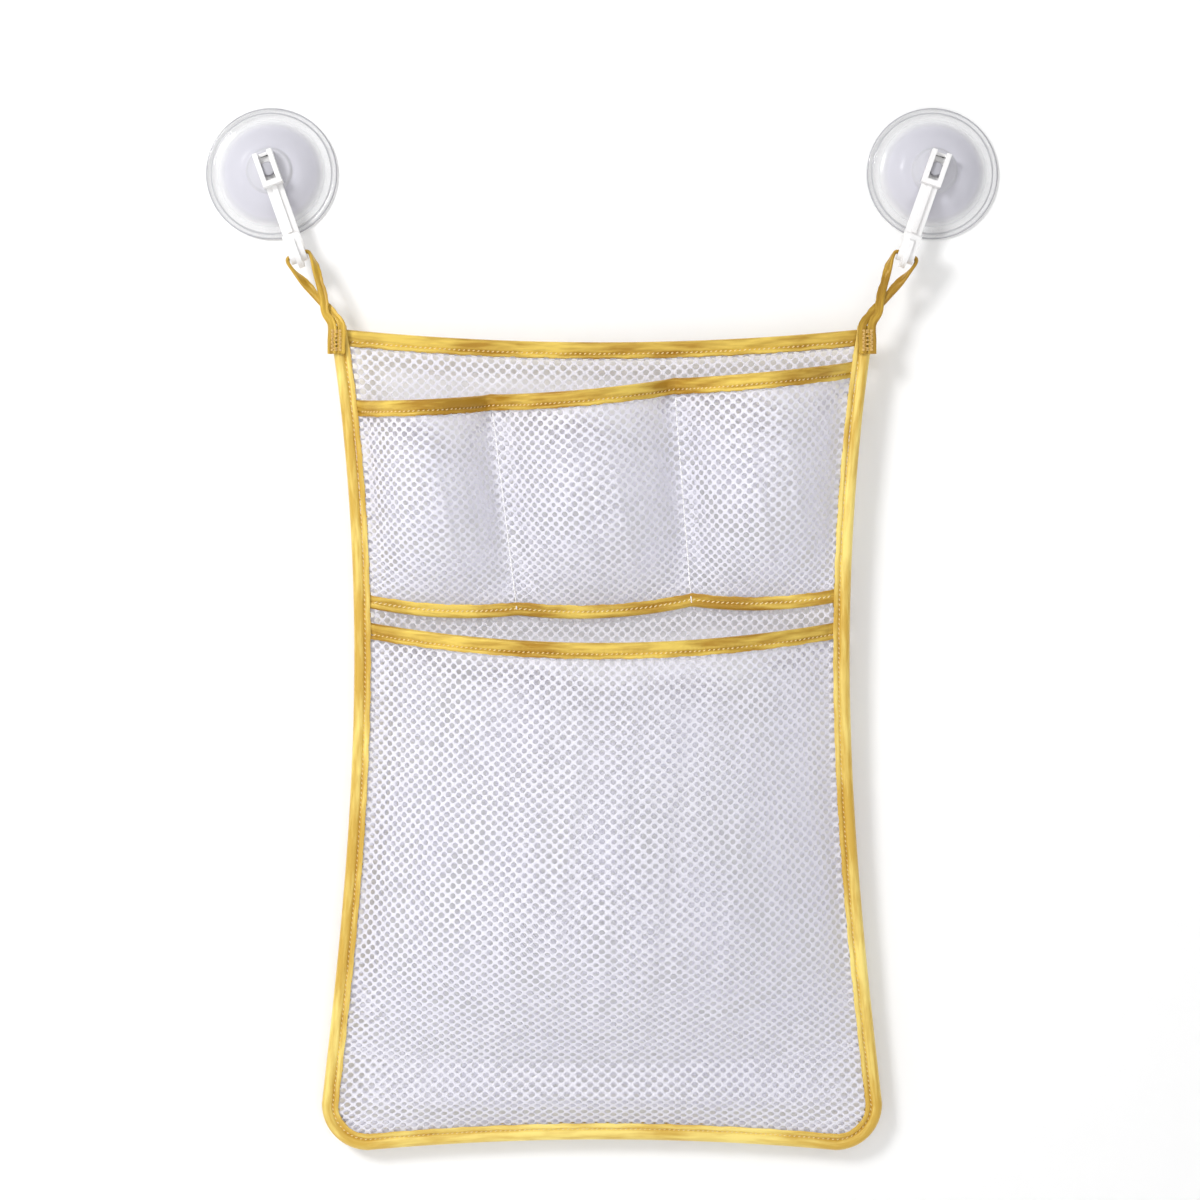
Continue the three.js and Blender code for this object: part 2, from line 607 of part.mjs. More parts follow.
// Box tack that sews a left loop's tails on, a frame of thread with a cross
function loopTack() {
  const front = panelDepth(BAG_TOP_Z) + edgeFront() + 2 * SEWN_GAP + LOOP_TAPE_THICKNESS;
  const diagonal = Math.atan2(TACK_LENGTH, TACK_WIDTH);
  const bar = (length, angle, x, z) =>
    solid(
      new THREE.BoxGeometry(length, THREAD, THREAD)
        .rotateY(-angle)
        .translate(x, -front - THREAD / 2, z),
    );
  const cross = Math.hypot(TACK_LENGTH, TACK_WIDTH);
  const tack = bar(TACK_WIDTH + THREAD, 0, 0, TACK_LENGTH / 2)
    .add(bar(TACK_WIDTH + THREAD, 0, 0, -TACK_LENGTH / 2))
    .add(bar(TACK_LENGTH, Math.PI / 2, -TACK_WIDTH / 2, 0))
    .add(bar(TACK_LENGTH, Math.PI / 2, TACK_WIDTH / 2, 0))
    .add(bar(cross, diagonal, 0, 0))
    .add(bar(cross, -diagonal, 0, 0));
  const middle = BAG_TOP_Z - LOOP_SEWN_LENGTH / 2;
  return geometryOf(tack).translate(-BAG_TOP_WIDTH / 2 + LOOP_TAIL_INSET, 0, middle);
}

// Back panel, a flat sheet that leans back to the wall
function backPanel() {
  const edge = outline().map(({ x, z, nx, nz }) => [x - nx * TAPE_FOLD, z - nz * TAPE_FOLD]);
  const top = [];
  for (let i = 1; i < BOTTOM_STEPS; i++) {
    const x = THREE.MathUtils.lerp(BAG_TOP_WIDTH / 2, -BAG_TOP_WIDTH / 2, i / BOTTOM_STEPS);
    top.push([x, topEdge(x) - TAPE_FOLD]);
  }
  edge[0][1] -= TAPE_FOLD;
  edge[edge.length - 1][1] -= TAPE_FOLD;
  const shape = new THREE.Shape([...edge, ...top].map(([x, z]) => new THREE.Vector2(x, z)));
  const sheet = new THREE.ExtrudeGeometry(shape, { depth: NET_THICKNESS, bevelEnabled: false });
  const position = sheet.getAttribute("position");
  for (let i = 0; i < position.count; i++) {
    const z = position.getY(i);
    const depth = panelDepth(z) + position.getZ(i) - NET_THICKNESS / 2;
    position.setXYZ(i, position.getX(i), -depth, z);
  }
  return sheet;
}

function edgeStations() {
  const front = new THREE.Vector3(0, -1, 0);
  return outline().map(({ x, z, nx, nz }) => {
    const inX = x - nx * TAPE_FOLD;
    const inZ = z - nz * TAPE_FOLD;
    return {
      point: at(inX, panelDepth(inZ) + POCKET_STAND / 2, inZ),
      across: front,
      up: at(nx, panelLean * nz, nz),
    };
  });
}

function topStations() {
  const inner = insideTapes(BAG_TOP_Z, TOP_TAPE_WIDTH);
  return grid(BOTTOM_STEPS, (i) => {
    const x = THREE.MathUtils.lerp(-inner, inner, i / BOTTOM_STEPS);
    const z = topEdge(x) - TAPE_FOLD;
    return { point: at(x, panelDepth(z), z), across: at(0, 1, 0), up: upPanel() };
  });
}

// Stations along the foot of the upper pockets, on the pocket panel's middle
function baseStations(strip) {
  const foot = strip[strip.length - 1].slice(1, -1);
  return foot.map((point, k) => {
    const inner = insideTapes(point.z + BASE_TAPE_WIDTH, BASE_TAPE_WIDTH);
    const end = k === 0 || k === foot.length - 1;
    const x = end ? Math.sign(point.x) * inner : point.x;
    const z = point.z + BASE_TAPE_WIDTH / 2;
    return { point: at(x, panelDepth(z) + POCKET_STAND, z), across: at(0, 1, 0), up: upPanel() };
  });
}

// Divider seam, a row of thread down the flat strip between two upper pockets
function dividerSeam(k) {
  const front = NET_THICKNESS / 2 + SEWN_GAP;
  const top = upperPoint(k, POCKET_COLUMNS, 1);
  const foot = upperPoint(k, POCKET_COLUMNS, UPPER_ROWS - 1);
  const stations = grid(UPPER_ROWS, (i) => {
    const z = THREE.MathUtils.lerp(top.z - SEWN_GAP, foot.z + SEWN_GAP, i / UPPER_ROWS);
    const x = THREE.MathUtils.lerp(top.x, foot.x, (top.z - z) / (top.z - foot.z));
    return { point: at(x, panelDepth(z) + POCKET_STAND, z), across: at(0, 1, 0), up: at(1, 0, 0) };
  });
  return sweep(stations, rectangle(front, front + THREAD, -THREAD / 2, THREAD / 2));
}

// Materials
const finish = (color, roughness) =>
  new THREE.MeshStandardMaterial({ color, roughness, metalness: 0 });
const clearVinyl = () => {
  const material = finish("#d9dae6", 0.18);
  material.transparent = true;
  material.opacity = 0.55;
  return material;
};
const whitePlastic = () => finish("#f1f0ec", 0.35);
const whiteNet = () => finish("#f4f4f2", 0.8);
const yellowSatin = () => finish("#e6b940", 0.45);
const whiteThread = () => finish("#f3ead2", 0.7);

const organizer = new THREE.Group();
organizer.name = "bath_toy_organizer";

function add(parent, name, geometry, material) {
  const mesh = new THREE.Mesh(geometry, material);
  mesh.name = name;
  parent.add(mesh);
}

// A piece of the left side, mirrored for the right
function mirrored(geometry) {
  const copy = geometry.clone().scale(-1, 1, 1);
  const order = copy.index.array;
  for (let i = 0; i < order.length; i += 3) {
    [order[i + 1], order[i + 2]] = [order[i + 2], order[i + 1]];
  }
  return copy;
}

const loopWide = LOOP_TAPE_WIDTH / 2;
const loopThick = LOOP_TAPE_THICKNESS / 2;
const loop = sweep(loopStations(), rectangle(-loopWide, loopWide, -loopThick, loopThick));
const tack = loopTack();

for (const [side, sign] of [
  ["left", -1],
  ["right", 1],
]) {
  const anchor = new THREE.Group();
  anchor.position.x = (sign * CUP_SPACING) / 2;
  add(anchor, `suction_cup_${side}`, suctionCup(), clearVinyl());
  const swivel = new THREE.Group();
  swivel.rotation.y = sign * LEAN;
  add(swivel, `hook_${side}`, hook(), whitePlastic());
  anchor.add(swivel);
  organizer.add(anchor);
  const onSide = (geometry) => (sign < 0 ? geometry : mirrored(geometry));
  add(organizer, `hanging_loop_${side}`, onSide(loop), yellowSatin());
  add(organizer, `loop_tack_${side}`, onSide(tack), whiteThread());
}

const upper = upperGrid();
const lower = lowerGrid();
add(organizer, "back_panel", backPanel(), whiteNet());
add(organizer, "upper_pocket_panel", shell(upper, NET_THICKNESS), whiteNet());
add(organizer, "lower_pocket_panel", shell(lower, NET_THICKNESS), whiteNet());

// Folded tapes and their stitch rows: what the fold holds, its wall and width
const tapes = [
  {
    name: "edge",
    stations: edgeStations(),
    inside: NET_THICKNESS + POCKET_STAND,
    thickness: TAPE_THICKNESS,
    width: EDGE_TAPE_WIDTH,
  },
  {
    name: "top_hem",
    stations: topStations(),
    inside: NET_THICKNESS,
    thickness: TAPE_THICKNESS,
    width: TOP_TAPE_WIDTH,
  },
  {
    name: "upper_hem",
    stations: hemStations(upper[0], upper[1]),
    inside: NET_THICKNESS,
    thickness: HEM_TAPE_THICKNESS,
    width: HEM_TAPE_WIDTH,
  },
  {
    name: "lower_hem",
    stations: hemStations(lower[0], lower[1]),
    inside: NET_THICKNESS,
    thickness: HEM_TAPE_THICKNESS,
    width: HEM_TAPE_WIDTH,
  },
];
const belowLoops = ({ point }) =>
  Math.abs(point.x) < insideTapes(point.z, 0) || point.z < BAG_TOP_Z - LOOP_SEWN_LENGTH - THREAD;
for (const { name, stations, inside, thickness, width } of tapes) {
  const fold = foldedTape(inside, thickness, width);
  const row = stitchSection(inside, thickness, width);
  add(organizer, `${name}_binding`, sweep(stations, fold), yellowSatin());
  add(organizer, `${name}_stitching`, sweep(stations.filter(belowLoops), row), whiteThread());
}

const baseFront = NET_THICKNESS / 2 + SEWN_GAP;
const baseHalf = BASE_TAPE_WIDTH / 2;
const base = baseStations(upper);
const baseTape = rectangle(baseFront, baseFront + TAPE_THICKNESS, -baseHalf, baseHalf);
const threadBack = baseFront + TAPE_THICKNESS + SEWN_GAP;
const baseRow = rectangle(threadBack, threadBack + THREAD, -THREAD / 2, THREAD / 2);
add(organizer, "upper_base_binding", sweep(base, baseTape), yellowSatin());
add(organizer, "upper_base_stitching", sweep(base, baseRow), whiteThread());
add(organizer, "divider_seam_left", dividerSeam(0), whiteThread());
add(organizer, "divider_seam_right", dividerSeam(1), whiteThread());

export default organizer;
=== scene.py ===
"""Bath toy organizer: a net bag bound in satin tape, slung from hooks on suction cups.

Sizes are millimetres in the solids' frame: the wall is y = 0, the bag hangs in
front of it at negative y, and "depth" is the distance from the wall.
"""

import math

import bmesh
import bpy
import numpy as np
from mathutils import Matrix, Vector


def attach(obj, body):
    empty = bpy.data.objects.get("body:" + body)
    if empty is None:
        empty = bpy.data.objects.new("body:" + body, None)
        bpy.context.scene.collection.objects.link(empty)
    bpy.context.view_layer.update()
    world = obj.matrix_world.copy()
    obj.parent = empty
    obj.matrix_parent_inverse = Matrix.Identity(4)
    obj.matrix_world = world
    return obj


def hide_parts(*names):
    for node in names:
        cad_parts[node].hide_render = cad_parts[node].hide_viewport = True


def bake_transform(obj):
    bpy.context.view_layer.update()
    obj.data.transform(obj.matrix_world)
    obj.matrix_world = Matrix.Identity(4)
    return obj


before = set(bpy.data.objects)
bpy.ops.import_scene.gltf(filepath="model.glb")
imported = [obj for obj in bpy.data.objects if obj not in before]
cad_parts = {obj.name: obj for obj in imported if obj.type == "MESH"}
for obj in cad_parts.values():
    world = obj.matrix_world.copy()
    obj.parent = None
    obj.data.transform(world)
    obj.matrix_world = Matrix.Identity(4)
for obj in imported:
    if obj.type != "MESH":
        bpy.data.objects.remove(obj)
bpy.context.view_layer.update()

MM = 0.001

# Suction cups
CUP_X = 186.5
CUP_RADIUS = 37
CUP_SIDES = 96
HOLLOW_RADIUS = 31
HOLLOW_DEPTH = 7
DOME_RADIUS = 27.4
DOME_FOOT = 3.4
DOME_DEPTH = 10.8
BOSS_RADIUS = 13
BOSS_DEPTH = 12.6
NECK_RADIUS = 3
KNOB_RADIUS = 4
KNOB_BACK = 15.4
KNOB_FRONT = 18.2

# Hooks
HOOK_LEAN = math.radians(19.5)
ARM_WIDTH = 9.5
SLOT_LOW = (-2.8, 15, 5)  # across, depth and height in the head
SLOT_HIGH = (2.8, 22, 12)
HOOK_ROUND = 0.35  # radius of the moulded edges
SEAT_DROP = 53.5  # down the arm from the cup's middle to the trough
TROUGH_DEPTH = 19.8

# Bag outline
BAG_TOP_Z = -89
BAG_HEIGHT = 460
BAG_BOTTOM_Z = BAG_TOP_Z - BAG_HEIGHT
BAG_TOP_WIDTH = 304
BAG_BOTTOM_WIDTH = 320
WAIST_DRAW = 17  # how far the sides are drawn in
WAIST_RISE = 0.85  # under 1 the waist lies above the middle
TOP_SAG = 8
BOTTOM_RISE = 6
CORNER_RADIUS = 26
HANG_DEPTH_TOP = 19
HANG_DEPTH_BOTTOM = 10

# Net and tape
NET_THICKNESS = 0.8
POCKET_STAND = 2.2  # from the back net to a pocket's net where they are sewn
TAPE_PLAY = 0.25  # between a net and the tape round it
TAPE_THICKNESS = 0.7
TAPE_FOLD = TAPE_PLAY + TAPE_THICKNESS
EDGE_WIDTH = 9.4
TOP_WIDTH = 9.2
HEM_THICKNESS = 0.6
HEM_FOLD = TAPE_PLAY + HEM_THICKNESS
HEM_WIDTH = 9
BASE_WIDTH = 7.5
SEWN_GAP = 0.3
TUCK = 2.6  # how far a tape's ends reach under the edge tape
TUCK_FLAT = 0.45  # and how much it is pressed flat there
TUCK_BACK = 0.8  # and pressed back
BASE_TUCK_BACK = 1.6
HOLD_LENGTH = 5  # how far from its ends a tape is pressed so
END_CLEAR = 1  # between a hem's end and its next station
HEM_LEAN_AT = 0.07  # share of the way down a pocket that gives its hem's lean
BASE_INSIDE = 0.1
BASE_THICKNESS = 0.5
EDGE_INSIDE = NET_THICKNESS + POCKET_STAND
SIDE_FLAT = 2.5  # flat net beside the edge tape
EDGE_LAND = EDGE_WIDTH + SEWN_GAP
SIDE_LAND = EDGE_LAND - TAPE_FOLD + SIDE_FLAT
BASE_LAND = BASE_WIDTH + SEWN_GAP

# Section of a folded tape
FOLD_ROLL = 2.4  # most of its width that the round of the fold takes
GROOVE_HALF = 0.55
LEAF_GAP = 0.12  # half of the least gap between its leaves
PLAIN_SHAPE = (0.65, 1.0, 0.0)  # puff, crown and flare, as folded() has them
HEM_SHAPE = (1.0, 0.5, 0.6)

# Unevenness of a sewn tape
SWELL = 0.05  # share of its thickness
SWELL_LENGTH = 31
WAVER = 0.28  # at its lip
WAVER_LENGTH = 19

# Small folds of the hanging nets: height, length and phase
BACK_FOLDS = (0.7, 90, 1.1)
LOWER_FOLDS = (1.1, 55, 0.4)
LOWER_CROSS_FOLDS = (0.6, 70, 2.0)
UPPER_FOLDS = (1.0, 26, 0.9)

# Upper pockets, read at the sides and the two seams from left to right
UPPER_HEM_Z = BAG_TOP_Z - np.array([39, 37, 28, 17])
UPPER_BASE_Z = BAG_TOP_Z - np.array([147, 153, 148, 144])
UPPER_HEM_SAG = 4
UPPER_BASE_SAG = 4
SEAM_TOP_X = np.array([-62, 40])
SEAM_FOOT_X = np.array([-47, 50])
SEAM_LAND = 4
SEAM_FRONT = 0.3  # how far the seam's thread lies in front of the pocket's net
SEAM_BACK = 0.4  # and behind the back net
SEAM_OVER_BASE = 1.5  # and its step out over the base tape
UPPER_BELLY = 30
UPPER_EASE = 1  # depth that the small folds take up
SEAM_SOFTNESS = 0.012  # how round the pockets start from their seams
UPPER_MOUTH = 0.8  # share of the belly at the mouth
UPPER_ROUND = 62  # height over which the pockets round out
UPPER_FRINGE = 3  # net that shows below the base tape

# Lower pocket
LOWER_HEM_DROP = 163
LOWER_HEM_SAG = 12
LOWER_BELLY = 56
LOWER_EASE = 2
LOWER_MOUTH = 0.55
LOWER_ROUND = 105

# Hanging loops, a tape folded in two
LOOP_PLAY = 0.9
LOOP_WIDTH = 4.7
LOOP_MEET = 0.58  # share of the way down where the strands come together
LOOP_CROSSED = 0.8  # and where they have crossed
LOOP_LAP = 1.7  # how far they then lie to each side
LOOP_OVER = 1.0  # and in front of and behind each other
LOOP_TURN = 0.3  # share of the tape's length where it starts to turn on its edge
LOOP_TURN_LENGTH = 0.14
LOOP_THICKNESS = 2
LOOP_INSIDE = 0.15
LOOP_LEAF = 0.55
LOOP_GROOVE = 3.2
LOOP_PINCH = 0.1
LOOP_PUFF = 0.15
LOOP_UNEVEN = 1.5
LOOP_SEWN = 15
LOOP_CLEAR = 1  # from the sewn end to the edge's first stitch
LOOP_TAIL_GAP = 0.5
LOOP_TAIL_INSET = 4.5
TACK_LENGTH = 11
TACK_WIDTH = 8
TACK_TURNS = 5
TACK_SUNK = 0.1
TACK_PITCH = 2.2
TACK_STITCH = 1.9

# Net: offset rows of roundish holes
HOLE_ACROSS = 6.6  # from hole to hole in a row
HOLE_DOWN = 5.4  # from hole to hole in a column
HOLE_HALF_WIDTH = 1.85
HOLE_HALF_HEIGHT = 1.6
HOLE_UNEVEN = 0.06  # how much the holes' sizes vary
STRAND_HALF = 0.22  # half the strands' thickness at their ridges
NET_KEPT = 0.93  # share of a panel's flat size that its uneven edge leaves
CORNER_INSET = 4  # where the nets stop under the edge tape
SIDE_INSET = 2.5

# Stitches
STITCH_PITCH = 2.7
STITCH_LENGTH = 2.9
STITCH_SLANT = math.radians(33)
THREAD_RADIUS = 0.42
STITCH_BOW = 0.7  # share of its radius that a stitch bows out
STITCH_ENDS = 0.7  # share of its thickness that is left at its ends
PUCKER = 0.14  # how far the stitches draw the tape in
PUCKER_HALF = 1.4  # and how far from the groove


def lerp(a, b, t):
    return a + (b - a) * t


def smooth(t):
    t = np.clip(t, 0, 1)
    return t * t * (3 - 2 * t)


def round_in(t):
    return np.sin(np.clip(t, 0, 1) * np.pi / 2)


def at(x, depth, z):
    return np.stack(np.broadcast_arrays(x, -np.asarray(depth, float), z), -1).astype(float)


def unit(v):
    return v / np.linalg.norm(v, axis=-1, keepdims=True)


def ripple(s, length, phase):
    """A slow unevenness along s, between about -1 and 1."""
    w = 2 * np.pi * s / length
    return 0.5 * np.sin(w + phase) + 0.3 * np.sin(2.3 * w + 2 * phase) + 0.2 * np.sin(4.1 * w + 5 * phase)


def small_folds(s, height, length, phase):
    return height * (1 + ripple(s, length, phase))


# Bag's outline


def half_width(z):
    t = (BAG_TOP_Z - z) / BAG_HEIGHT
    straight = lerp(BAG_TOP_WIDTH, BAG_BOTTOM_WIDTH, t) / 2
    return straight - WAIST_DRAW * np.sin(np.pi * np.maximum(0, t) ** WAIST_RISE)


def panel_depth(z):
    return lerp(HANG_DEPTH_TOP, HANG_DEPTH_BOTTOM, (BAG_TOP_Z - z) / BAG_HEIGHT)


CORNER_Z = BAG_BOTTOM_Z + CORNER_RADIUS
CORNER_X = float(half_width(CORNER_Z)) - CORNER_RADIUS
PANEL_LEAN = (HANG_DEPTH_TOP - HANG_DEPTH_BOTTOM) / BAG_HEIGHT
UP_PANEL = unit(np.array([0, -PANEL_LEAN, 1]))
FRONT = np.array([0.0, -1.0, 0.0])


def top_edge(x):
    return BAG_TOP_Z - TOP_SAG * (1 - (2 * x / BAG_TOP_WIDTH) ** 2)


def bottom_edge(x):
    return BAG_BOTTOM_Z + BOTTOM_RISE * np.maximum(0, 1 - (x / CORNER_X) ** 2)


def reach(z, inset):
    radius = CORNER_RADIUS - inset
    below = np.clip(CORNER_Z - z, 0, radius)
    return np.where(z >= CORNER_Z, half_width(z) - inset, CORNER_X + np.sqrt(radius**2 - below**2))


def inside_tapes(z, width):
    return min(half_width(z), half_width(z - width)) - EDGE_LAND


# Net panels as surfaces of u across and v down, both from 0 to 1 (u to 3 on the
# upper strip, one for each pocket)


def back_surface(u, v):
    s = 2 * u - 1
    top = top_edge(s * BAG_TOP_WIDTH / 2) - TAPE_FOLD
    z = lerp(top, bottom_edge(s * CORNER_X) + TAPE_FOLD, v)
    x = s * (half_width(z) - TAPE_FOLD)
    slack = np.sin(np.pi * u) * np.sin(np.pi * v)
    return at(x, panel_depth(z) - slack * small_folds(x + 0.3 * z, *BACK_FOLDS), z)


def lower_surface(u, v):
    s = 2 * u - 1
    mouth = BAG_TOP_Z - LOWER_HEM_DROP - LOWER_HEM_SAG * (1 - s * s) - HEM_FOLD
    foot = bottom_edge(s * CORNER_X) + TAPE_FOLD
    z = lerp(mouth, foot, v)
    x = s * (half_width(z) - TAPE_FOLD)
    across = x / (reach(z, TAPE_FOLD) - SIDE_LAND)
    bulge = np.maximum(0, 1 - across**2)
    corner = np.hypot(np.maximum(0, np.abs(x) - CORNER_X), np.maximum(0, CORNER_Z - z))
    inside = np.minimum(z - foot + TAPE_FOLD, CORNER_RADIUS - corner)
    full = round_in((np.maximum(inside, z - CORNER_Z) - EDGE_LAND) / LOWER_ROUND)
    opened = lerp(LOWER_MOUTH, 1, smooth(2 * (mouth - z) / (mouth - foot)))
    folds = small_folds(x - 0.12 * z, *LOWER_FOLDS) + small_folds(z + 0.5 * x, *LOWER_CROSS_FOLDS)
    depth = panel_depth(z) + POCKET_STAND + (LOWER_BELLY - LOWER_EASE + folds) * bulge * full * opened
    return at(x, depth, z)


def upper_mouth(pocket, a):
    level = lerp(UPPER_HEM_Z[pocket], UPPER_HEM_Z[pocket + 1], a)
    return level - UPPER_HEM_SAG * 4 * a * (1 - a) - HEM_FOLD


def upper_foot(pocket, a):
    level = lerp(UPPER_BASE_Z[pocket], UPPER_BASE_Z[pocket + 1], a)
    return level - UPPER_BASE_SAG * 4 * a * (1 - a) - BASE_WIDTH


def seam_line(k, z):
    mouth, foot = upper_mouth(k, 1), upper_foot(k, 1)
    return lerp(SEAM_TOP_X[k], SEAM_FOOT_X[k], (mouth - z) / (mouth - foot))


def upper_surface(u, v):
    pocket = np.clip(np.floor(u), 0, 2).astype(int)
    a = u - pocket
    mouth, foot = upper_mouth(pocket, a), upper_foot(pocket, a)
    z = lerp(mouth, foot - UPPER_FRINGE, v)
    edge = half_width(z) - TAPE_FOLD
    start = np.where(pocket == 0, -edge, seam_line(np.maximum(pocket - 1, 0), z))
    end = np.where(pocket == 2, edge, seam_line(np.minimum(pocket, 1), z))
    start_land = np.where(pocket == 0, SIDE_LAND, SEAM_LAND)
    end_land = np.where(pocket == 2, SIDE_LAND, SEAM_LAND)
    x = lerp(start, end, a)
    across = (x - start - start_land) / (end - start - start_land - end_land)
    bulge = 4 * across * (1 - across)
    bulge = (bulge + np.sqrt(bulge**2 + SEAM_SOFTNESS)) / 2
    full = round_in((z - foot - BASE_LAND) / UPPER_ROUND)
    down = (mouth - z) / (mouth - foot)
    opened = lerp(UPPER_MOUTH, 1, smooth(2 * down))
    height, length, phase = UPPER_FOLDS
    folds = small_folds(x + 0.2 * z, height, length, phase + pocket) * smooth(down * 2)
    depth = panel_depth(z) + POCKET_STAND + (UPPER_BELLY - UPPER_EASE + folds) * bulge * full * opened
    return at(x, depth, z)


def step_lengths(points):
    return np.linalg.norm(np.diff(points, axis=-2), axis=-1)


def run_of(points):
    """How far along its line each point lies."""
    return np.concatenate([[0], np.cumsum(step_lengths(points))])


def picked(values, run, s):
    """The rows of values at the places s along their run."""
    return np.stack([np.interp(s, run, column) for column in values.T], -1)


def laid_flat(surface, spans):
    """The panel as a flat cut: its width and length, and a function from places on the cut
    to points of the hung panel. Each row keeps even spacing along its own curve."""
    rows, columns = 140, 160
    v = np.linspace(0, 1, rows + 1)
    middle = surface(np.full(rows + 1, spans / 2), v)
    drop = run_of(middle)
    v_even = np.interp(np.linspace(0, drop[-1], rows + 1), drop, v)
    widths, tables = [], []
    for k in range(spans):
        u = np.linspace(k, k + 1 - 1e-9, columns + 1)
        run = step_lengths(surface(*np.meshgrid(u, v_even)))
        run = np.concatenate([np.zeros((rows + 1, 1)), np.cumsum(run, axis=1)], axis=1)
        even = [np.interp(np.linspace(0, r[-1], columns + 1), r, u) for r in run]
        widths.append(run[:, -1].max())
        tables.append(np.array(even))
    widths, tables = np.array(widths), np.array(tables)
    starts = np.concatenate([[0], np.cumsum(widths)])

    def hung(x, y):
        k = np.clip(np.searchsorted(starts, x, side="right") - 1, 0, spans - 1)
        i = np.clip((x - starts[k]) / widths[k], 0, 1) * columns
        j = np.clip(y / drop[-1], 0, 1) * rows
        i0, j0 = np.minimum(i.astype(int), columns - 1), np.minimum(j.astype(int), rows - 1)
        fi, fj = i - i0, j - j0
        upper = lerp(tables[k, j0, i0], tables[k, j0, i0 + 1], fi)
        below = lerp(tables[k, j0 + 1, i0], tables[k, j0 + 1, i0 + 1], fi)
        return surface(lerp(upper, below, fj), lerp(v_even[j0], v_even[j0 + 1], fj))

    return starts[-1], drop[-1], hung


# Making pieces


def piece(name, points, faces, material, body, stood_for, along=None):
    """A smooth mesh from points in millimetres that rides on a body and stands for CAD nodes.
    along gives each point's place on its tape or thread, in millimetres."""
    mesh = bpy.data.meshes.new(name)
    mesh.from_pydata((points * MM).tolist(), [], faces)
    if along is not None:
        corner = np.zeros(len(mesh.loops), int)
        mesh.loops.foreach_get("vertex_index", corner)
        layer = mesh.uv_layers.new(name="tape")
        layer.data.foreach_set("uv", (along[corner] * MM).astype(np.float32).ravel())
    work = bmesh.new()
    work.from_mesh(mesh)
    bmesh.ops.recalc_face_normals(work, faces=work.faces)
    work.to_mesh(mesh)
    work.free()
    mesh.shade_smooth()
    mesh.set_sharp_from_angle(angle=math.radians(70))
    mesh.materials.append(material)
    made = bpy.data.objects.new(name, mesh)
    bpy.context.scene.collection.objects.link(made)
    if body:
        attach(made, body)
    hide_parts(*stood_for)
    return made


def ring_faces(rings, sides, first=0):
    """Quads round a tube of rings, with both ends closed."""
    i, j = np.meshgrid(np.arange(rings - 1), np.arange(sides), indexing="ij")
    a, b = first + i * sides + j, first + i * sides + (j + 1) % sides
    quads = np.stack([a, b, b + sides, a + sides], -1).reshape(-1, 4).tolist()
    last = first + (rings - 1) * sides
    return quads + [list(range(first, first + sides)), list(range(last, last + sides))]


def net(name, surface, spans, keep, stood_for):
    """A panel of net: strands with a ridge on each face round offset rows of holes. Also its
    flat size and the area of its strands."""
    width, length, hung = laid_flat(surface, spans)
    half_a, half_b = HOLE_ACROSS / 2, HOLE_DOWN / 2
    # the cell round a hole is a hexagon with level top and bottom
    wide = (half_a**2 + half_b**2) / (2 * half_a)
    middle = width / 2
    most = int(middle / half_a) + 1
    c, r = np.meshgrid(np.arange(-most, most + 1), np.arange(0, int(length / half_b) + 2), indexing="ij")
    c, r = c[(c + r) % 2 == 0], r[(c + r) % 2 == 0]
    x, y = middle + c * half_a, r * half_b
    inside = (x > wide) & (x < width - wide) & (y > half_b) & (y < length - half_b)
    inside &= keep(hung(x, y))
    c, r, x, y = c[inside], r[inside], x[inside], y[inside]

    # corners of the cells, shared by neighbours: (column, row, side of that hole)
    around = [(0, 0, 1), (1, -1, -1), (-1, -1, 1), (0, 0, -1), (-1, 1, 1), (1, 1, -1)]
    keys = {}
    cells = [[keys.setdefault((a + dc, b + dr, side), len(keys)) for dc, dr, side in around]
             for a, b in zip(c.tolist(), r.tolist())]
    corner = np.array(list(keys))
    cx = middle + corner[:, 0] * half_a + corner[:, 2] * wide
    cy = corner[:, 1] * half_b
    step = 0.4
    base = hung(cx, cy)
    normal = unit(np.cross(hung(cx, cy + step) - hung(cx, cy - step),
                           hung(cx + step, cy) - hung(cx - step, cy)))
    normal *= np.sign(normal @ FRONT)[:, None]
    angle = np.arange(8) * np.pi / 4
    uneven = 1 + HOLE_UNEVEN * np.random.default_rng(len(name)).standard_normal((len(c), 1))
    hx = x[:, None] + HOLE_HALF_WIDTH * uneven * np.cos(angle)
    hy = y[:, None] - HOLE_HALF_HEIGHT * uneven * np.sin(angle)
    holes = hung(hx.ravel(), hy.ravel())

    points = np.concatenate([base + normal * STRAND_HALF, base - normal * STRAND_HALF, holes])
    n = len(base)
    # triangles between the cell's corners, 0 to 5, and the hole's points, 6 to 13
    ring = [(0, 1, 7), (0, 7, 6), (1, 8, 7), (1, 2, 8), (2, 9, 8), (2, 3, 9), (3, 10, 9),
            (3, 11, 10), (3, 4, 11), (4, 12, 11), (4, 5, 12), (5, 13, 12), (5, 0, 13), (0, 6, 13)]
    faces, edges = [], {}
    for k, cell in enumerate(cells):
        hole = 2 * n + len(angle) * k
        for triangle in ring:
            front = [cell[q] if q < 6 else hole + q - 6 for q in triangle]
            faces.append(front)
            faces.append([q if q >= 2 * n else q + n for q in reversed(front)])
        for q in range(6):
            a, b = cell[q], cell[(q + 1) % 6]
            if (b, a) in edges:
                del edges[(b, a)]
            else:
                edges[(a, b)] = True
    faces += [[b, a, a + n, b + n] for a, b in edges]
    made = piece(name, points, faces, NET, "bag", stood_for)
    strands = 1 - 2 * math.sqrt(2) * HOLE_HALF_WIDTH * HOLE_HALF_HEIGHT / (2 * half_a * half_b)
    area = width * length * strands * NET_KEPT
    return made, (width * MM, length * MM), area * MM * MM


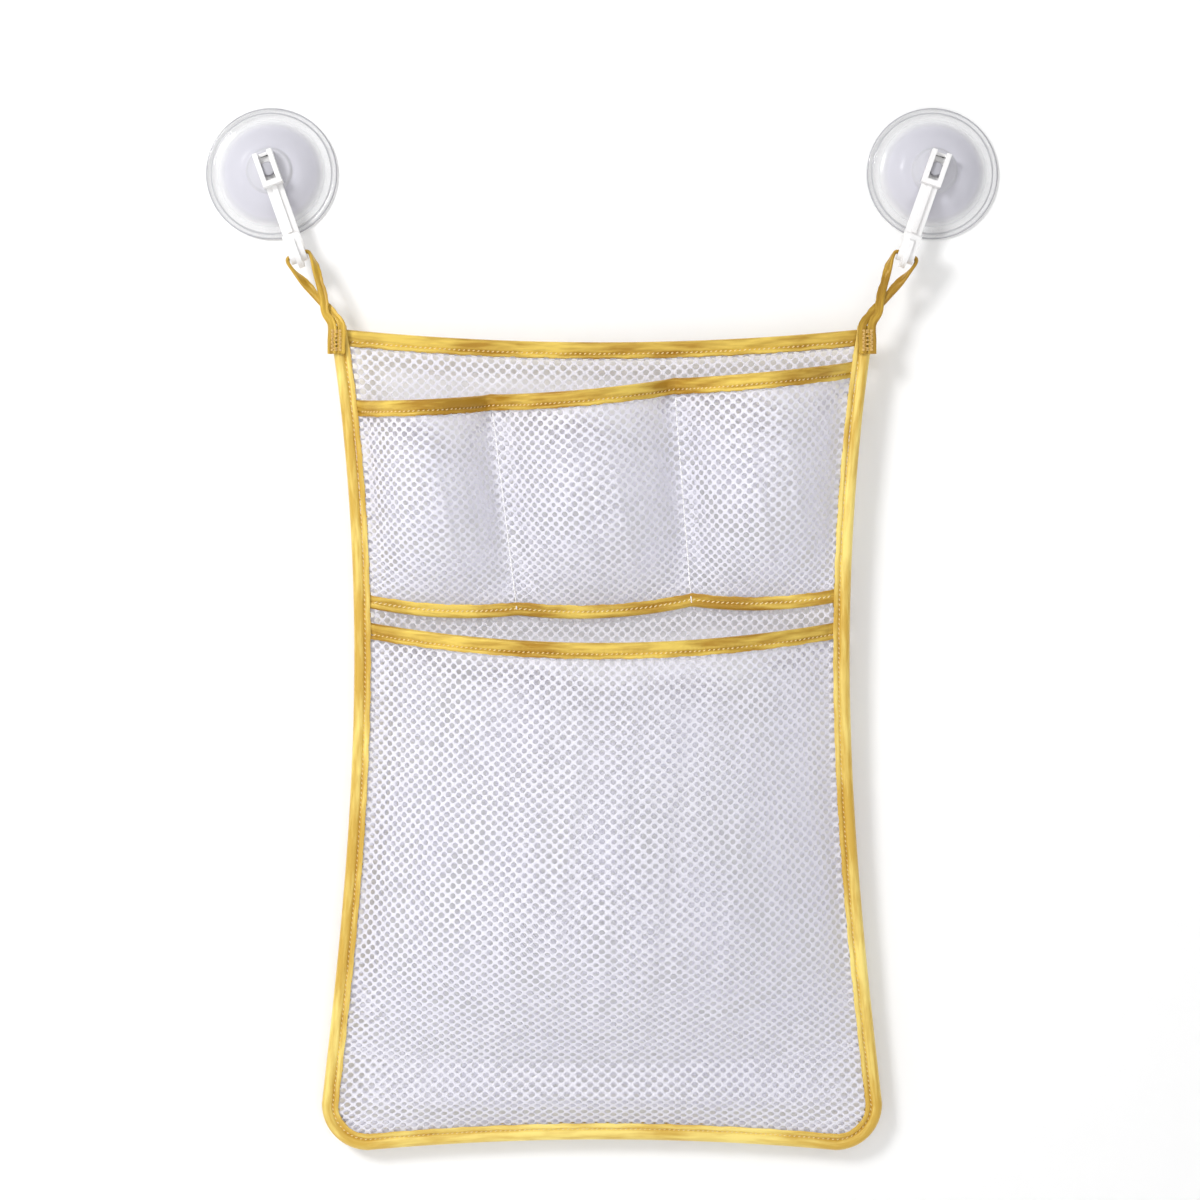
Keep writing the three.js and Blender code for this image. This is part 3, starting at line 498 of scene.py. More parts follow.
def folded(inside, thickness, width, groove, pinch, puff, crown=1.0, flare=0.0):
    """Section of a tape folded over an edge, as [across, up] with the edge at [0, 0]: a soft
    roll at the fold, a groove where the stitches pull it in, and a lip beyond. A crown under 1
    moves the roll towards the fold, and a flare turns the lip out."""
    top = TAPE_PLAY + thickness
    half = inside / 2 + TAPE_PLAY + thickness
    roll = min(half * 1.1, FOLD_ROLL)
    # places down a leaf, closer at the fold, the groove and the lip
    d = np.unique(np.concatenate([[0, 0.12, 0.4, 0.9, 1.5, roll],
                                  np.linspace(roll, groove - 1.1, 4),
                                  groove + np.array([-0.7, -0.35, 0, 0.35, 0.8, 1.4]),
                                  [width - 0.25, width]]))
    d = d[(d >= 0) & (d <= width)]
    rise = np.sqrt(np.clip(1 - (1 - np.minimum(d / roll, 1)) ** 2, 0, 1))
    lip = np.clip((d - groove) / (width - groove), 0, 1)
    swell = puff * np.sin(np.pi * np.clip(d / groove, 0, 1) ** crown)
    swell += 0.5 * puff * np.sin(np.pi * lip) + flare * lip
    outer = half * rise + swell - pinch * np.exp(-(((d - groove) / GROOVE_HALF) ** 2))
    inner_d = d[d >= thickness]
    inner = np.maximum(np.interp(inner_d, d, outer) - thickness, LEAF_GAP)
    inner[0] = LEAF_GAP / 2
    return np.concatenate([
        np.stack([outer[::-1], top - d[::-1]], -1),
        np.stack([-outer[1:], top - d[1:]], -1),
        np.stack([-inner[::-1], top - inner_d[::-1]], -1),
        np.stack([inner, top - inner_d], -1),
    ])


def finer(stations, step):
    """The same stations at even steps."""
    run = run_of(stations[0])
    even = np.linspace(0, run[-1], int(run[-1] / step) + 1)
    points, across, up = (picked(values, run, even) for values in stations)
    return points, unit(across), unit(up)


def end_hold(points):
    """How firmly the edge tape holds a tape at each point: 1 at its ends, 0 away from them."""
    run = run_of(points)
    return np.exp(-((np.minimum(run, run[-1] - run) / HOLD_LENGTH) ** 2))[:, None]


def tucked(stations, back):
    """The stations with their ends pressed back, to lie under the edge tape."""
    points, across, up = stations
    return points - across * back * end_hold(points), across, up


def tape(name, stations, section, material, body, stood_for, *, uneven=1.0, phase=0.0, groove=None,
         flat=0.0):
    """A folded tape carried along stations (points, across, up), a little uneven as sewn,
    puckered by the stitches in its groove and pressed flat at its ends."""
    points, across, up = stations
    run = run_of(points)
    from_fold = section[:, 1].max() - section[:, 1]
    lip = np.clip(from_fold / np.ptp(section[:, 1]), 0, 1)
    swell = (1 + SWELL * uneven * ripple(run, SWELL_LENGTH, phase)[:, None]) * (1 - flat * end_hold(points))
    waver = WAVER * uneven * ripple(run, WAVER_LENGTH, 1.7 + phase)[:, None] * lip**2
    u = section[:, 0] * swell
    if groove:
        drawn = np.exp(-(((from_fold - groove) / PUCKER_HALF) ** 2)) * np.tanh(2 * section[:, 0])
        u = u + PUCKER * np.cos(2 * np.pi * (run - run[-1] / 2) / STITCH_PITCH)[:, None] * drawn
    v = section[:, 1] + waver
    ring = points[:, None] + across[:, None] * u[..., None] + up[:, None] * v[..., None]
    rings, sides = ring.shape[:2]
    along = np.stack(np.broadcast_arrays(run[:, None], section[:, 1]), -1).reshape(-1, 2)
    return piece(name, ring.reshape(-1, 3), ring_faces(rings, sides), material,
                 body, stood_for, along)


def stitches(rows, pitch=STITCH_PITCH, length=STITCH_LENGTH, slant=0.0, radius=THREAD_RADIUS, sunk=0.25):
    """Points, faces and places of stitches along rows (points, outward): each stitch bows out of
    the cloth, and its ends dive into it."""
    points, faces, along = [], [], []
    sides, rings = 6, 5
    turn = np.arange(sides) * 2 * np.pi / sides
    for line, out in rows:
        run = run_of(line)
        count = int(run[-1] / pitch)
        start = (run[-1] - (count - 1) * pitch) / 2
        t = np.linspace(-0.5, 0.5, rings)
        s = (start + np.arange(count)[:, None] * pitch + t * length * math.cos(slant)).ravel()
        normal = unit(picked(out, run, s))
        ahead = unit(picked(line, run, s + 0.2) - picked(line, run, s - 0.2))
        side = unit(np.cross(normal, ahead))
        bow = np.tile(np.cos(np.pi * t), count)
        centre = picked(line, run, s) + normal * (radius * STITCH_BOW * bow - sunk * (1 - bow))[:, None]
        centre += side * (np.tile(t, count) * length * math.sin(slant))[:, None]
        thick = radius * lerp(STITCH_ENDS, 1, bow)
        ring = centre[:, None] + thick[:, None, None] * (
            side[:, None] * np.cos(turn)[:, None] + normal[:, None] * np.sin(turn)[:, None])
        first = sum(len(p) for p in points)
        points.append(ring.reshape(-1, 3))
        along.append(np.stack(np.broadcast_arrays(s[:, None], turn), -1).reshape(-1, 2))
        for k in range(count):
            faces += ring_faces(rings, sides, first + k * rings * sides)
    return np.concatenate(points), faces, np.concatenate(along)


def stitch_row(name, rows, material, body, stood_for, **sizes):
    points, faces, along = stitches(rows, **sizes)
    return piece(name, points, faces, material, body, stood_for, along)


# Stations (points on the net's edge, across, up) of each tape


def edge_stations():
    z = np.linspace(BAG_TOP_Z, CORNER_Z, 120)
    slope = half_width(z + 0.5) - half_width(z - 0.5)
    side = np.stack([-half_width(z), z, -np.ones_like(z), -slope], -1)
    angle = np.pi + np.linspace(0, np.pi / 2, 17)[1:]
    turn = np.stack([-CORNER_X + CORNER_RADIUS * np.cos(angle), CORNER_Z + CORNER_RADIUS * np.sin(angle),
                     np.cos(angle), np.sin(angle)], -1)
    x = np.linspace(-CORNER_X, CORNER_X, 80)[1:-1]
    foot = np.stack([x, bottom_edge(x), np.zeros_like(x), -np.ones_like(x)], -1)
    left = np.concatenate([side, turn])
    right = left[::-1] * np.array([-1, 1, -1, 1])
    x, z, nx, nz = np.concatenate([left, foot, right]).T
    size = np.hypot(nx, nz)
    nx, nz = nx / size, nz / size
    x, z = x - nx * TAPE_FOLD, z - nz * TAPE_FOLD
    points = at(x, panel_depth(z) + POCKET_STAND / 2, z)
    return points, np.broadcast_to(FRONT, points.shape), at(nx, PANEL_LEAN * nz, nz)


def top_stations():
    inner = inside_tapes(BAG_TOP_Z, TOP_WIDTH) + SEWN_GAP + TUCK
    x = np.linspace(-inner, inner, 90)
    z = top_edge(x) - TAPE_FOLD
    points = at(x, panel_depth(z), z)
    return points, np.broadcast_to(FRONT, points.shape), np.broadcast_to(UP_PANEL, points.shape)


def hem_stations(surface, spans, steps):
    u = np.linspace(0, spans - 1e-9, steps)
    mouth = surface(u, np.zeros_like(u))
    left, right = (inside_tapes(mouth[end, 2], HEM_WIDTH) + SEWN_GAP + TUCK for end in (0, -1))
    kept = (mouth[:, 0] > END_CLEAR - left) & (mouth[:, 0] < right - END_CLEAR)
    u, mouth = u[kept], mouth[kept]
    below = surface(u, np.full_like(u, HEM_LEAN_AT))
    up = unit(mouth - below)
    ends = [mouth[0] * [0, 1, 1] + [-left, 0, 0], mouth[-1] * [0, 1, 1] + [right, 0, 0]]
    points = np.concatenate([ends[:1], mouth, ends[1:]])
    up = np.concatenate([up[:1], up, up[-1:]])
    across = unit(np.cross(np.gradient(points, axis=0), up))
    across *= np.sign(across @ FRONT)[:, None]
    return points, across, up


def base_stations():
    u = np.linspace(0, 3 - 1e-9, 150)
    pocket = np.clip(np.floor(u), 0, 2).astype(int)
    a = u - pocket
    z = upper_foot(pocket, a)
    edge = half_width(z)
    ends = np.stack([-edge, seam_line(0, z), seam_line(1, z), edge])
    x = lerp(ends[pocket, np.arange(len(u))], ends[pocket + 1, np.arange(len(u))], a)
    inner = inside_tapes(UPPER_BASE_Z[0], BASE_WIDTH) + SEWN_GAP + TUCK
    kept = np.abs(x) < inner
    x, z = x[kept], z[kept]
    depth = panel_depth(z) + POCKET_STAND + NET_THICKNESS / 2 + SEWN_GAP + TAPE_THICKNESS / 2
    points = at(x, depth, z + TAPE_FOLD)
    # the fold lies at the lower edge
    return points, np.broadcast_to(FRONT, points.shape), np.broadcast_to(-UP_PANEL, points.shape)


def on_tape(stations, inside, thickness, groove, pinch, face=1, flat=0.0):
    """A stitch row in a tape's groove, on its front or back face."""
    points, across, up = stations
    half = (inside / 2 + TAPE_PLAY + thickness - pinch) * (1 - flat * end_hold(points))
    line = points + face * across * half + up * (TAPE_PLAY + thickness - groove)
    return line, face * across


def rounded_path(knots, steps):
    """Even points on a smooth curve through the knots, with softer turns where they are close."""
    p = np.concatenate([[2 * knots[0] - knots[1]], knots, [2 * knots[-1] - knots[-2]]])
    t = np.concatenate([[0], np.cumsum(np.sqrt(np.linalg.norm(np.diff(p, axis=0), axis=1)))])
    curve = []
    for k in range(1, len(p) - 2):
        for s in np.linspace(t[k], t[k + 1], 24, endpoint=False):
            a = [lerp(p[q], p[q + 1], (s - t[q]) / (t[q + 1] - t[q])) for q in (k - 1, k, k + 1)]
            b = [lerp(a[q], a[q + 1], (s - t[k - 1 + q]) / (t[k + 1 + q] - t[k - 1 + q])) for q in (0, 1)]
            curve.append(lerp(b[0], b[1], (s - t[k]) / (t[k + 1] - t[k])))
    curve = np.array(curve + [p[-2]])
    run = run_of(curve)
    return picked(curve, run, np.linspace(0, run[-1], steps))


def loop_stations():
    """The left loop: over the hook's trough and down to the bag's corner."""
    down = np.array([math.sin(HOOK_LEAN), 0, -math.cos(HOOK_LEAN)])
    side = np.array([math.cos(HOOK_LEAN), 0, math.sin(HOOK_LEAN)])
    right = np.array([1.0, 0, 0])
    rise = np.array([0, 0, 1.0])
    seat = np.array([-CUP_X, -TROUGH_DEPTH, 0]) + down * (SEAT_DROP - LOOP_PLAY - LOOP_THICKNESS / 2)
    over = ARM_WIDTH / 2 + LOOP_PLAY + LOOP_THICKNESS / 2
    tape_front = POCKET_STAND + NET_THICKNESS / 2 + TAPE_PLAY + TAPE_THICKNESS
    tail_depth = panel_depth(BAG_TOP_Z) + tape_front + SEWN_GAP + LOOP_THICKNESS / 2
    corner = np.array([-BAG_TOP_WIDTH / 2 + LOOP_TAIL_INSET, -tail_depth, BAG_TOP_Z])
    knots = []
    for sign in (-1, 1):
        top = seat + side * sign * over
        tail = corner - right * sign * (LOOP_WIDTH + LOOP_TAIL_GAP) / 2
        lap = right * sign * LOOP_LAP
        over_under = FRONT * sign * LOOP_OVER
        strand = [seat + side * sign * (ARM_WIDTH / 2 + 1), top + down * LOOP_THICKNESS,
                  lerp(seat, corner, LOOP_MEET) + lap + over_under,
                  lerp(seat, corner, LOOP_CROSSED) - lap + over_under, tail + rise * 1.5,
                  tail - rise * LOOP_SEWN / 2, tail - rise * LOOP_SEWN]
        knots += strand[::-1] if sign < 0 else strand
    points = rounded_path(np.array(knots), 160)
    ahead = unit(np.gradient(points, axis=0))
    in_plane = unit(np.cross(FRONT, ahead))
    upright = unit(np.cross(ahead, in_plane))
    t = np.linspace(0, 1, len(points))
    twist = 1 - smooth((np.minimum(t, 1 - t) - LOOP_TURN) / LOOP_TURN_LENGTH)
    turn = np.pi / 2 * twist * np.where(t < 0.5, 1, -1)
    wide = unit(upright * np.cos(turn)[:, None] + in_plane * np.sin(turn)[:, None])
    return points, np.cross(ahead, wide), wide


# Materials


def linear(code):
    """An sRGB hex colour as linear light."""
    values = [int(code[i : i + 2], 16) / 255 for i in (1, 3, 5)]
    return [v / 12.92 if v <= 0.04045 else ((v + 0.055) / 1.055) ** 2.4 for v in values] + [1.0]


def add(tree, kind, inputs=None, **settings):
    """Adds a node with its settings; an input takes a value or another node's output."""
    made = tree.nodes.new(kind)
    for name, value in settings.items():
        setattr(made, name, value)
    for name, value in (inputs or {}).items():
        if isinstance(value, bpy.types.NodeSocket):
            tree.links.new(value, made.inputs[name])
        else:
            made.inputs[name].default_value = value
    return made


def new_material(name):
    material = bpy.data.materials.new(name)
    material.use_nodes = True
    material.node_tree.nodes.clear()
    return material, material.node_tree


def output(tree, surface):
    add(tree, "ShaderNodeOutputMaterial", {"Surface": surface})


def noise(tree, place, size, detail):
    """A cloudy pattern with patches of about size millimetres."""
    inputs = {"Vector": place, "Scale": 1 / (size * MM), "Detail": detail}
    return add(tree, "ShaderNodeTexNoise", inputs).outputs["Fac"]


def wave_scale(period):
    """The scale of a wave texture whose bands repeat every period millimetres."""
    return 2 * math.pi / 20 / (period * MM)


def relief(tree, height, strength, depth, **inputs):
    """Normals of a surface that rises by up to depth millimetres."""
    inputs |= {"Height": height, "Strength": strength, "Distance": depth * MM}
    return add(tree, "ShaderNodeBump", inputs).outputs["Normal"]


def mixed(tree, share, first, second):
    """A colour between two, by a share that changes over the surface."""
    return add(tree, "ShaderNodeMix", {"Factor": share, 6: first, 7: second}, data_type="RGBA").outputs[2]


def polyester_net():
    """Knitted white polyester: soft matt strands of many filaments, in a faintly cool white."""
    material, tree = new_material("polyester_net")
    place = add(tree, "ShaderNodeTexCoord").outputs["Object"]
    colour = mixed(tree, noise(tree, place, 40, 3.0), linear("#F5F4FD"), linear("#FBFAFF"))
    # filaments of 0.1 mm are too fine to show, so they are drawn 0.4 mm apart
    filaments = relief(tree, noise(tree, place, 0.4, 2.0), 0.25, 0.1)
    shader = add(tree, "ShaderNodeBsdfPrincipled", {
        "Base Color": colour, "Roughness": 0.55, "IOR": 1.5, "Sheen Weight": 0.2,
        "Sheen Roughness": 0.4, "Normal": filaments})
    # thin strands let much of the light through
    through = add(tree, "ShaderNodeBsdfTranslucent", {"Color": colour})
    both = add(tree, "ShaderNodeMixShader", {0: 0.3, 1: shader.outputs["BSDF"], 2: through.outputs["BSDF"]})
    output(tree, both.outputs["Shader"])
    return material


def satin_bias_binding(name, dark, light):
    """Golden polyester satin cut on the bias: long floats give a soft streaked sheen, and slow patches of
    colour along it are painted sheen, where its drape turns to the light.
    """
    material, tree = new_material(name)
    place = add(tree, "ShaderNodeUVMap", uv_map="tape").outputs["UV"]
    # threads of 0.2 mm are too fine to show, so the floats are drawn 1.4 mm apart, at 45 degrees
    slant = add(tree, "ShaderNodeMapping", {"Vector": place, "Rotation": (0, 0, math.radians(45))})
    floats = add(tree, "ShaderNodeTexWave", {
        "Vector": slant.outputs["Vector"], "Scale": wave_scale(1.3854), "Distortion": 1.5,
        "Detail": 2.0, "Detail Scale": 1.5})
    long_place = add(tree, "ShaderNodeMapping", {"Vector": place, "Scale": (0.12, 1, 1)})
    streak = noise(tree, long_place.outputs["Vector"], 2.5, 3.0)
    # painted sheen: slow patches of deeper and brighter gold along the tape stand in for the light its
    # drape turns
    painted_drape_sheen = noise(tree, add(tree, "ShaderNodeTexCoord").outputs["Object"], 60, 1.0)
    sheen = add(tree, "ShaderNodeMix", {"Factor": 0.5, 2: streak, 3: painted_drape_sheen})
    ramp = add(tree, "ShaderNodeValToRGB", {"Fac": sheen.outputs[0]})
    for stop, share, code in zip(ramp.color_ramp.elements, (0.4, 0.6), (dark, light)):
        stop.position = share
        stop.color = linear(code)
    weave = relief(tree, floats.outputs["Fac"], 0.2, 0.12)
    wrinkles = relief(tree, streak, 0.3, 0.5, Normal=weave)
    warp = add(tree, "ShaderNodeTangent", direction_type="UV_MAP", uv_map="tape")
    shader = add(tree, "ShaderNodeBsdfPrincipled", {
        "Base Color": ramp.outputs["Color"], "Roughness": 0.4, "IOR": 1.6, "Anisotropic": 0.6,
        "Specular IOR Level": 0.75, "Specular Tint": linear("#FFE8A8"),
        "Tangent": warp.outputs["Tangent"], "Sheen Weight": 0.6, "Sheen Roughness": 0.35,
        "Sheen Tint": linear("#FFDE80"), "Normal": wrinkles})
    output(tree, shader.outputs["BSDF"])
    return material


def sewing_thread(name, code):
    """Spun polyester thread: two plies laid round each other, faintly glossy."""
    material, tree = new_material(name)
    place = add(tree, "ShaderNodeUVMap", uv_map="tape").outputs["UV"]
    # plies of 0.3 mm are drawn 1.6 mm apart so that their twist shows
    plies = add(tree, "ShaderNodeTexWave", {
        "Vector": place, "Scale": wave_scale(1.5834), "Distortion": 0.6})
    twist = relief(tree, plies.outputs["Fac"], 0.4, 0.1)
    colour = add(tree, "ShaderNodeHueSaturation", {
        "Color": linear(code), "Saturation": 0.8, "Fac": noise(tree, place, 9, 2.0)})
    shader = add(tree, "ShaderNodeBsdfPrincipled", {
        "Base Color": colour.outputs["Color"], "Roughness": 0.5, "IOR": 1.5, "Sheen Weight": 0.2,
        "Normal": twist})
    output(tree, shader.outputs["BSDF"])
    return material


def soft_pvc():
    """Clear soft PVC, pressed glossy: see-through at the thin brim, milky lavender where it is thick."""
    material, tree = new_material("soft_pvc")
    milky = add(tree, "ShaderNodeAttribute", attribute_name="milk").outputs["Fac"]
    dark = add(tree, "ShaderNodeAttribute", attribute_name="rim").outputs["Fac"]
    colour = mixed(tree, milky, linear("#FAFAFC"), linear("#D5D4DD"))
    # painted shade: the rim attribute greys the brim's edges, its groove and the knob, and the cover below
    # keeps them opaque; this stands in for the clear PVC's darker refractions and the knob's shade in the
    # hook
    colour = mixed(tree, dark, colour, linear("#A9A9AE"))

    def from_clear(clear, thick):
        inputs = {"Value": milky, "To Min": clear, "To Max": thick}
        return add(tree, "ShaderNodeMapRange", inputs).outputs["Result"]

    cover = add(tree, "ShaderNodeMath", {0: from_clear(0.25, 0.85), 1: dark}, operation="MAXIMUM")
    shader = add(tree, "ShaderNodeBsdfPrincipled", {
        "Base Color": colour, "Roughness": from_clear(0.06, 0.5), "IOR": 1.45,
        "Alpha": cover.outputs["Value"], "Specular IOR Level": from_clear(0.5, 0.2),
        "Coat Weight": 0.15, "Coat Roughness": 0.08})
    output(tree, shader.outputs["BSDF"])
    return material


def moulded_polypropylene():
    """White moulded polypropylene: waxy, half glossy, with a faint orange-peel skin."""
    material, tree = new_material("moulded_polypropylene")
    place = add(tree, "ShaderNodeTexCoord").outputs["Object"]
    skin = relief(tree, noise(tree, place, 1.2, 2.0), 0.06, 0.2)
    colour = mixed(tree, noise(tree, place, 15, 2.0), linear("#EDECEC"), linear("#F5F4F4"))
    shader = add(tree, "ShaderNodeBsdfPrincipled", {
        "Base Color": colour, "Roughness": 0.3, "IOR": 1.49, "Subsurface Weight": 0.15,
        "Subsurface Radius": (0.004, 0.004, 0.004), "Subsurface Scale": 0.3, "Normal": skin})
    output(tree, shader.outputs["BSDF"])
    return material


NET = polyester_net()
# one satin tape in three painted lights: the edge's paler shade is painted light caught by its round roll,
# and the hems' deeper gold and the loops' deeper still are painted shade
EDGE_SATIN_LIT = satin_bias_binding("edge_satin_lit", "#CFA746", "#F5DE80")
HEM_SATIN_SHADED = satin_bias_binding("hem_satin_shaded", "#A97C20", "#E6C75E")  # a deeper gold than the edge
LOOP_SATIN_SHADED = satin_bias_binding("loop_satin_shaded", "#9C7218", "#D2AB3E")  # and deeper still
GOLD_THREAD = sewing_thread("gold_thread", "#F6E0A0")
TACK_THREAD = sewing_thread("tack_thread", "#DDB35A")
WHITE_THREAD = sewing_thread("seam_thread", "#FAF9FA")
PVC = soft_pvc()
POLYPROPYLENE = moulded_polypropylene()

# Net panels


def in_corners(p):
    out = np.hypot(np.maximum(0, np.abs(p[:, 0]) - CORNER_X), np.maximum(0, CORNER_Z - p[:, 2]))
    return out < CORNER_RADIUS - CORNER_INSET


def in_sides(p):
    return np.abs(p[:, 0]) < half_width(p[:, 2]) - SIDE_INSET


back_net, back_flat, back_area = net("back_net", back_surface, 1, in_corners, ["back_panel"])
upper_net, upper_flat, upper_area = net(
    "upper_pocket_net", upper_surface, 3, in_sides, ["upper_pocket_panel"])
lower_net, lower_flat, lower_area = net(
    "lower_pocket_net", lower_surface, 1, in_corners, ["lower_pocket_panel"])

# Tapes and their stitches: what each tape folds over, its wall, its width, its groove and the pinch there

edge = edge_stations()
top = top_stations()
upper_hem = tucked(hem_stations(upper_surface, 3, 190), TUCK_BACK)
lower_hem = tucked(hem_stations(lower_surface, 1, 150), TUCK_BACK)
base = tucked(base_stations(), BASE_TUCK_BACK)
for name, stations, inside, wall, width, groove, pinch in [
    ("edge", edge, EDGE_INSIDE, TAPE_THICKNESS, EDGE_WIDTH, 6.3, 1.2),
    ("top_hem", top, NET_THICKNESS, TAPE_THICKNESS, TOP_WIDTH, 6.6, 0.75),
    ("upper_hem", upper_hem, NET_THICKNESS, HEM_THICKNESS, HEM_WIDTH, 6.4, 0.75),
    ("lower_hem", lower_hem, NET_THICKNESS, HEM_THICKNESS, HEM_WIDTH, 6.4, 0.75),
    ("upper_base", base, BASE_INSIDE, BASE_THICKNESS, BASE_WIDTH, 3.9, 0.35),
]:
    shape = HEM_SHAPE if name.endswith("hem") else PLAIN_SHAPE
    section = folded(inside, wall, width, groove, pinch, *shape)
    if name == "edge":
        satin, laid, puckered, flat = EDGE_SATIN_LIT, stations, None, 0.0
    else:
        satin, laid, puckered, flat = HEM_SATIN_SHADED, finer(stations, STITCH_PITCH / 4), groove, TUCK_FLAT
    made = tape(f"{name}_tape", laid, section, satin, "bag", [f"{name}_binding"],
                phase=len(name), groove=puckered, flat=flat)
    run = run_of(stations[0])
    front, back = (on_tape(stations, inside, wall, groove, pinch, face, flat) for face in (1, -1))
    if name == "edge":
        # the loops' tails cover the front row at the top
        below = stations[0][:, 2] < BAG_TOP_Z - LOOP_SEWN - LOOP_CLEAR
        front = [part[below] for part in front]
    else:
        # no stitches under the edge tape
        out = np.minimum(run, run[-1] - run) > TUCK
        front, back = ([part[out] for part in row] for row in (front, back))
    stitch_row(f"{name}_stitches", [front, back], GOLD_THREAD, "bag", [f"{name}_stitching"],
               slant=STITCH_SLANT)

for k, side in enumerate(["left", "right"]):
    z = np.linspace(UPPER_HEM_Z[k + 1] - HEM_WIDTH - 1, UPPER_BASE_Z[k + 1] - BASE_WIDTH, 60)
    line = at(seam_line(k, z), panel_depth(z) + POCKET_STAND + SEAM_FRONT, z)
    line[:, 1] -= SEAM_OVER_BASE * smooth((UPPER_BASE_Z[k + 1] + 1 - z) / 2)
    behind = at(seam_line(k, z), panel_depth(z) - SEAM_BACK, z)
    rows = [(line, np.broadcast_to(FRONT, line.shape)), (behind, np.broadcast_to(-FRONT, line.shape))]
    stitch_row(f"divider_stitches_{side}", rows, WHITE_THREAD, "bag", [f"divider_seam_{side}"])

# Hanging loops with their box tacks

loop = loop_stations()
loop_section = folded(LOOP_INSIDE, LOOP_LEAF, LOOP_WIDTH, LOOP_GROOVE, LOOP_PINCH, LOOP_PUFF)
loop_section[:, 1] += LOOP_WIDTH / 2 - TAPE_PLAY - LOOP_LEAF
tack_depth = -loop[0][-1, 1] + LOOP_THICKNESS / 2 - TACK_SUNK
tack_x = -BAG_TOP_WIDTH / 2 + LOOP_TAIL_INSET
tack_z = BAG_TOP_Z - LOOP_SEWN / 2
# bars of the tack: a zigzag down and another back, closed at top and bottom
far, high = TACK_WIDTH / 2, TACK_LENGTH / 2
rungs = np.linspace(-high, high, TACK_TURNS + 1)
bars = [((sign * far, a), (-sign * far, b)) for sign in (-1, 1) for a, b in zip(rungs, rungs[1:])]
bars += [((-far, high), (far, high)), ((-far, -high), (far, -high))]
for side, mirror in (("left", 1), ("right", -1)):
    flip = np.array([mirror, 1, 1])
    stations = tuple(part * flip for part in loop)
    made = tape(f"loop_tape_{side}", stations, loop_section, LOOP_SATIN_SHADED, None, [f"hanging_loop_{side}"],
                uneven=LOOP_UNEVEN)
    rows = []
    for (x0, z0), (x1, z1) in bars:
        t = np.linspace(0, 1, 12)
        line = at(tack_x + lerp(x0, x1, t), tack_depth, tack_z + lerp(z0, z1, t)) * flip
        rows.append((line, np.broadcast_to(FRONT, line.shape)))
    tack = stitch_row(f"loop_stitches_{side}", rows, TACK_THREAD, None, [f"loop_tack_{side}"],
                      pitch=TACK_PITCH, length=TACK_STITCH)
    for soft in (made, tack):
        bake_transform(soft)

# Suction cups, turned with a fine rim, a milky dome and a boss

# profile from the hollow's middle round the brim to the knob: radius, depth, milkiness, rim shade (painted
# shade: grey at the brim's edges, its groove and the knob, for the darker refractions of clear PVC and the
# knob's shade)
hollow = [(r, HOLLOW_DEPTH * (1 - (r / HOLLOW_RADIUS) ** 2), 0.7 * (1 - smooth((r - 22) / 8)), 0)
          for r in np.linspace(0, HOLLOW_RADIUS, 16)]
brim = [(CUP_RADIUS - inset, depth, milky, dark) for inset, depth, milky, dark in [
    (0.8, 0, 0, 0), (0.3, 0.05, 0, 1), (0, 0.3, 0, 1), (0, 0.85, 0, 1), (0.25, 1.15, 0, 1),
    (0.7, 1.2, 0, 0.8), (0.9, 1.2, 0, 0), (2.4, 1.2, 0, 0), (2.6, 1.05, 0, 0.9), (3, 1.05, 0, 0.9),
    (3.3, 1.45, 0, 0.7), (3.6, 1.68, 0, 0), (4.6, 1.75, 0, 0), (6.5, 2.05, 0, 0), (8, 2.5, 0.25, 0),
    (9.1, 3.0, 0.5, 0)]]
dome = [(lerp(DOME_RADIUS, BOSS_RADIUS + 0.4, t), lerp(DOME_FOOT, DOME_DEPTH, math.sin(t * math.pi / 2)),
         0.65 + 0.35 * smooth(t * 6), 0) for t in np.linspace(0, 1, 14)]
boss = [(BOSS_RADIUS - inset, BOSS_DEPTH - below, milky, 0) for inset, below, milky in [
    (0, 1.65, 0.8), (0.3, 1.3, 0.7), (1.2, 0.25, 0.7), (1.6, 0.03, 0.8), (2, 0, 0.8)]]
neck = [(NECK_RADIUS + 0.3, BOSS_DEPTH, 0.9, 0), (NECK_RADIUS, BOSS_DEPTH + 0.3, 1, 0),
        (NECK_RADIUS, KNOB_BACK - 0.3, 1, 0)]
knob = [(KNOB_RADIUS - 0.8, KNOB_BACK - 0.02, 1, 0.3), (KNOB_RADIUS - 0.2, KNOB_BACK + 0.02, 1, 0.5),
        (KNOB_RADIUS, KNOB_BACK + 0.25, 1, 0.5), (KNOB_RADIUS, KNOB_FRONT - 0.9, 1, 0.5),
        (KNOB_RADIUS - 0.25, KNOB_FRONT - 0.3, 1, 0.5), (KNOB_RADIUS - 0.9, KNOB_FRONT - 0.02, 1, 0.5),
        (0, KNOB_FRONT, 1, 0.5)]
radii, depths, milk, rim = np.array(hollow + brim + dome + boss + neck + knob).T
angle = np.arange(CUP_SIDES) * 2 * np.pi / CUP_SIDES
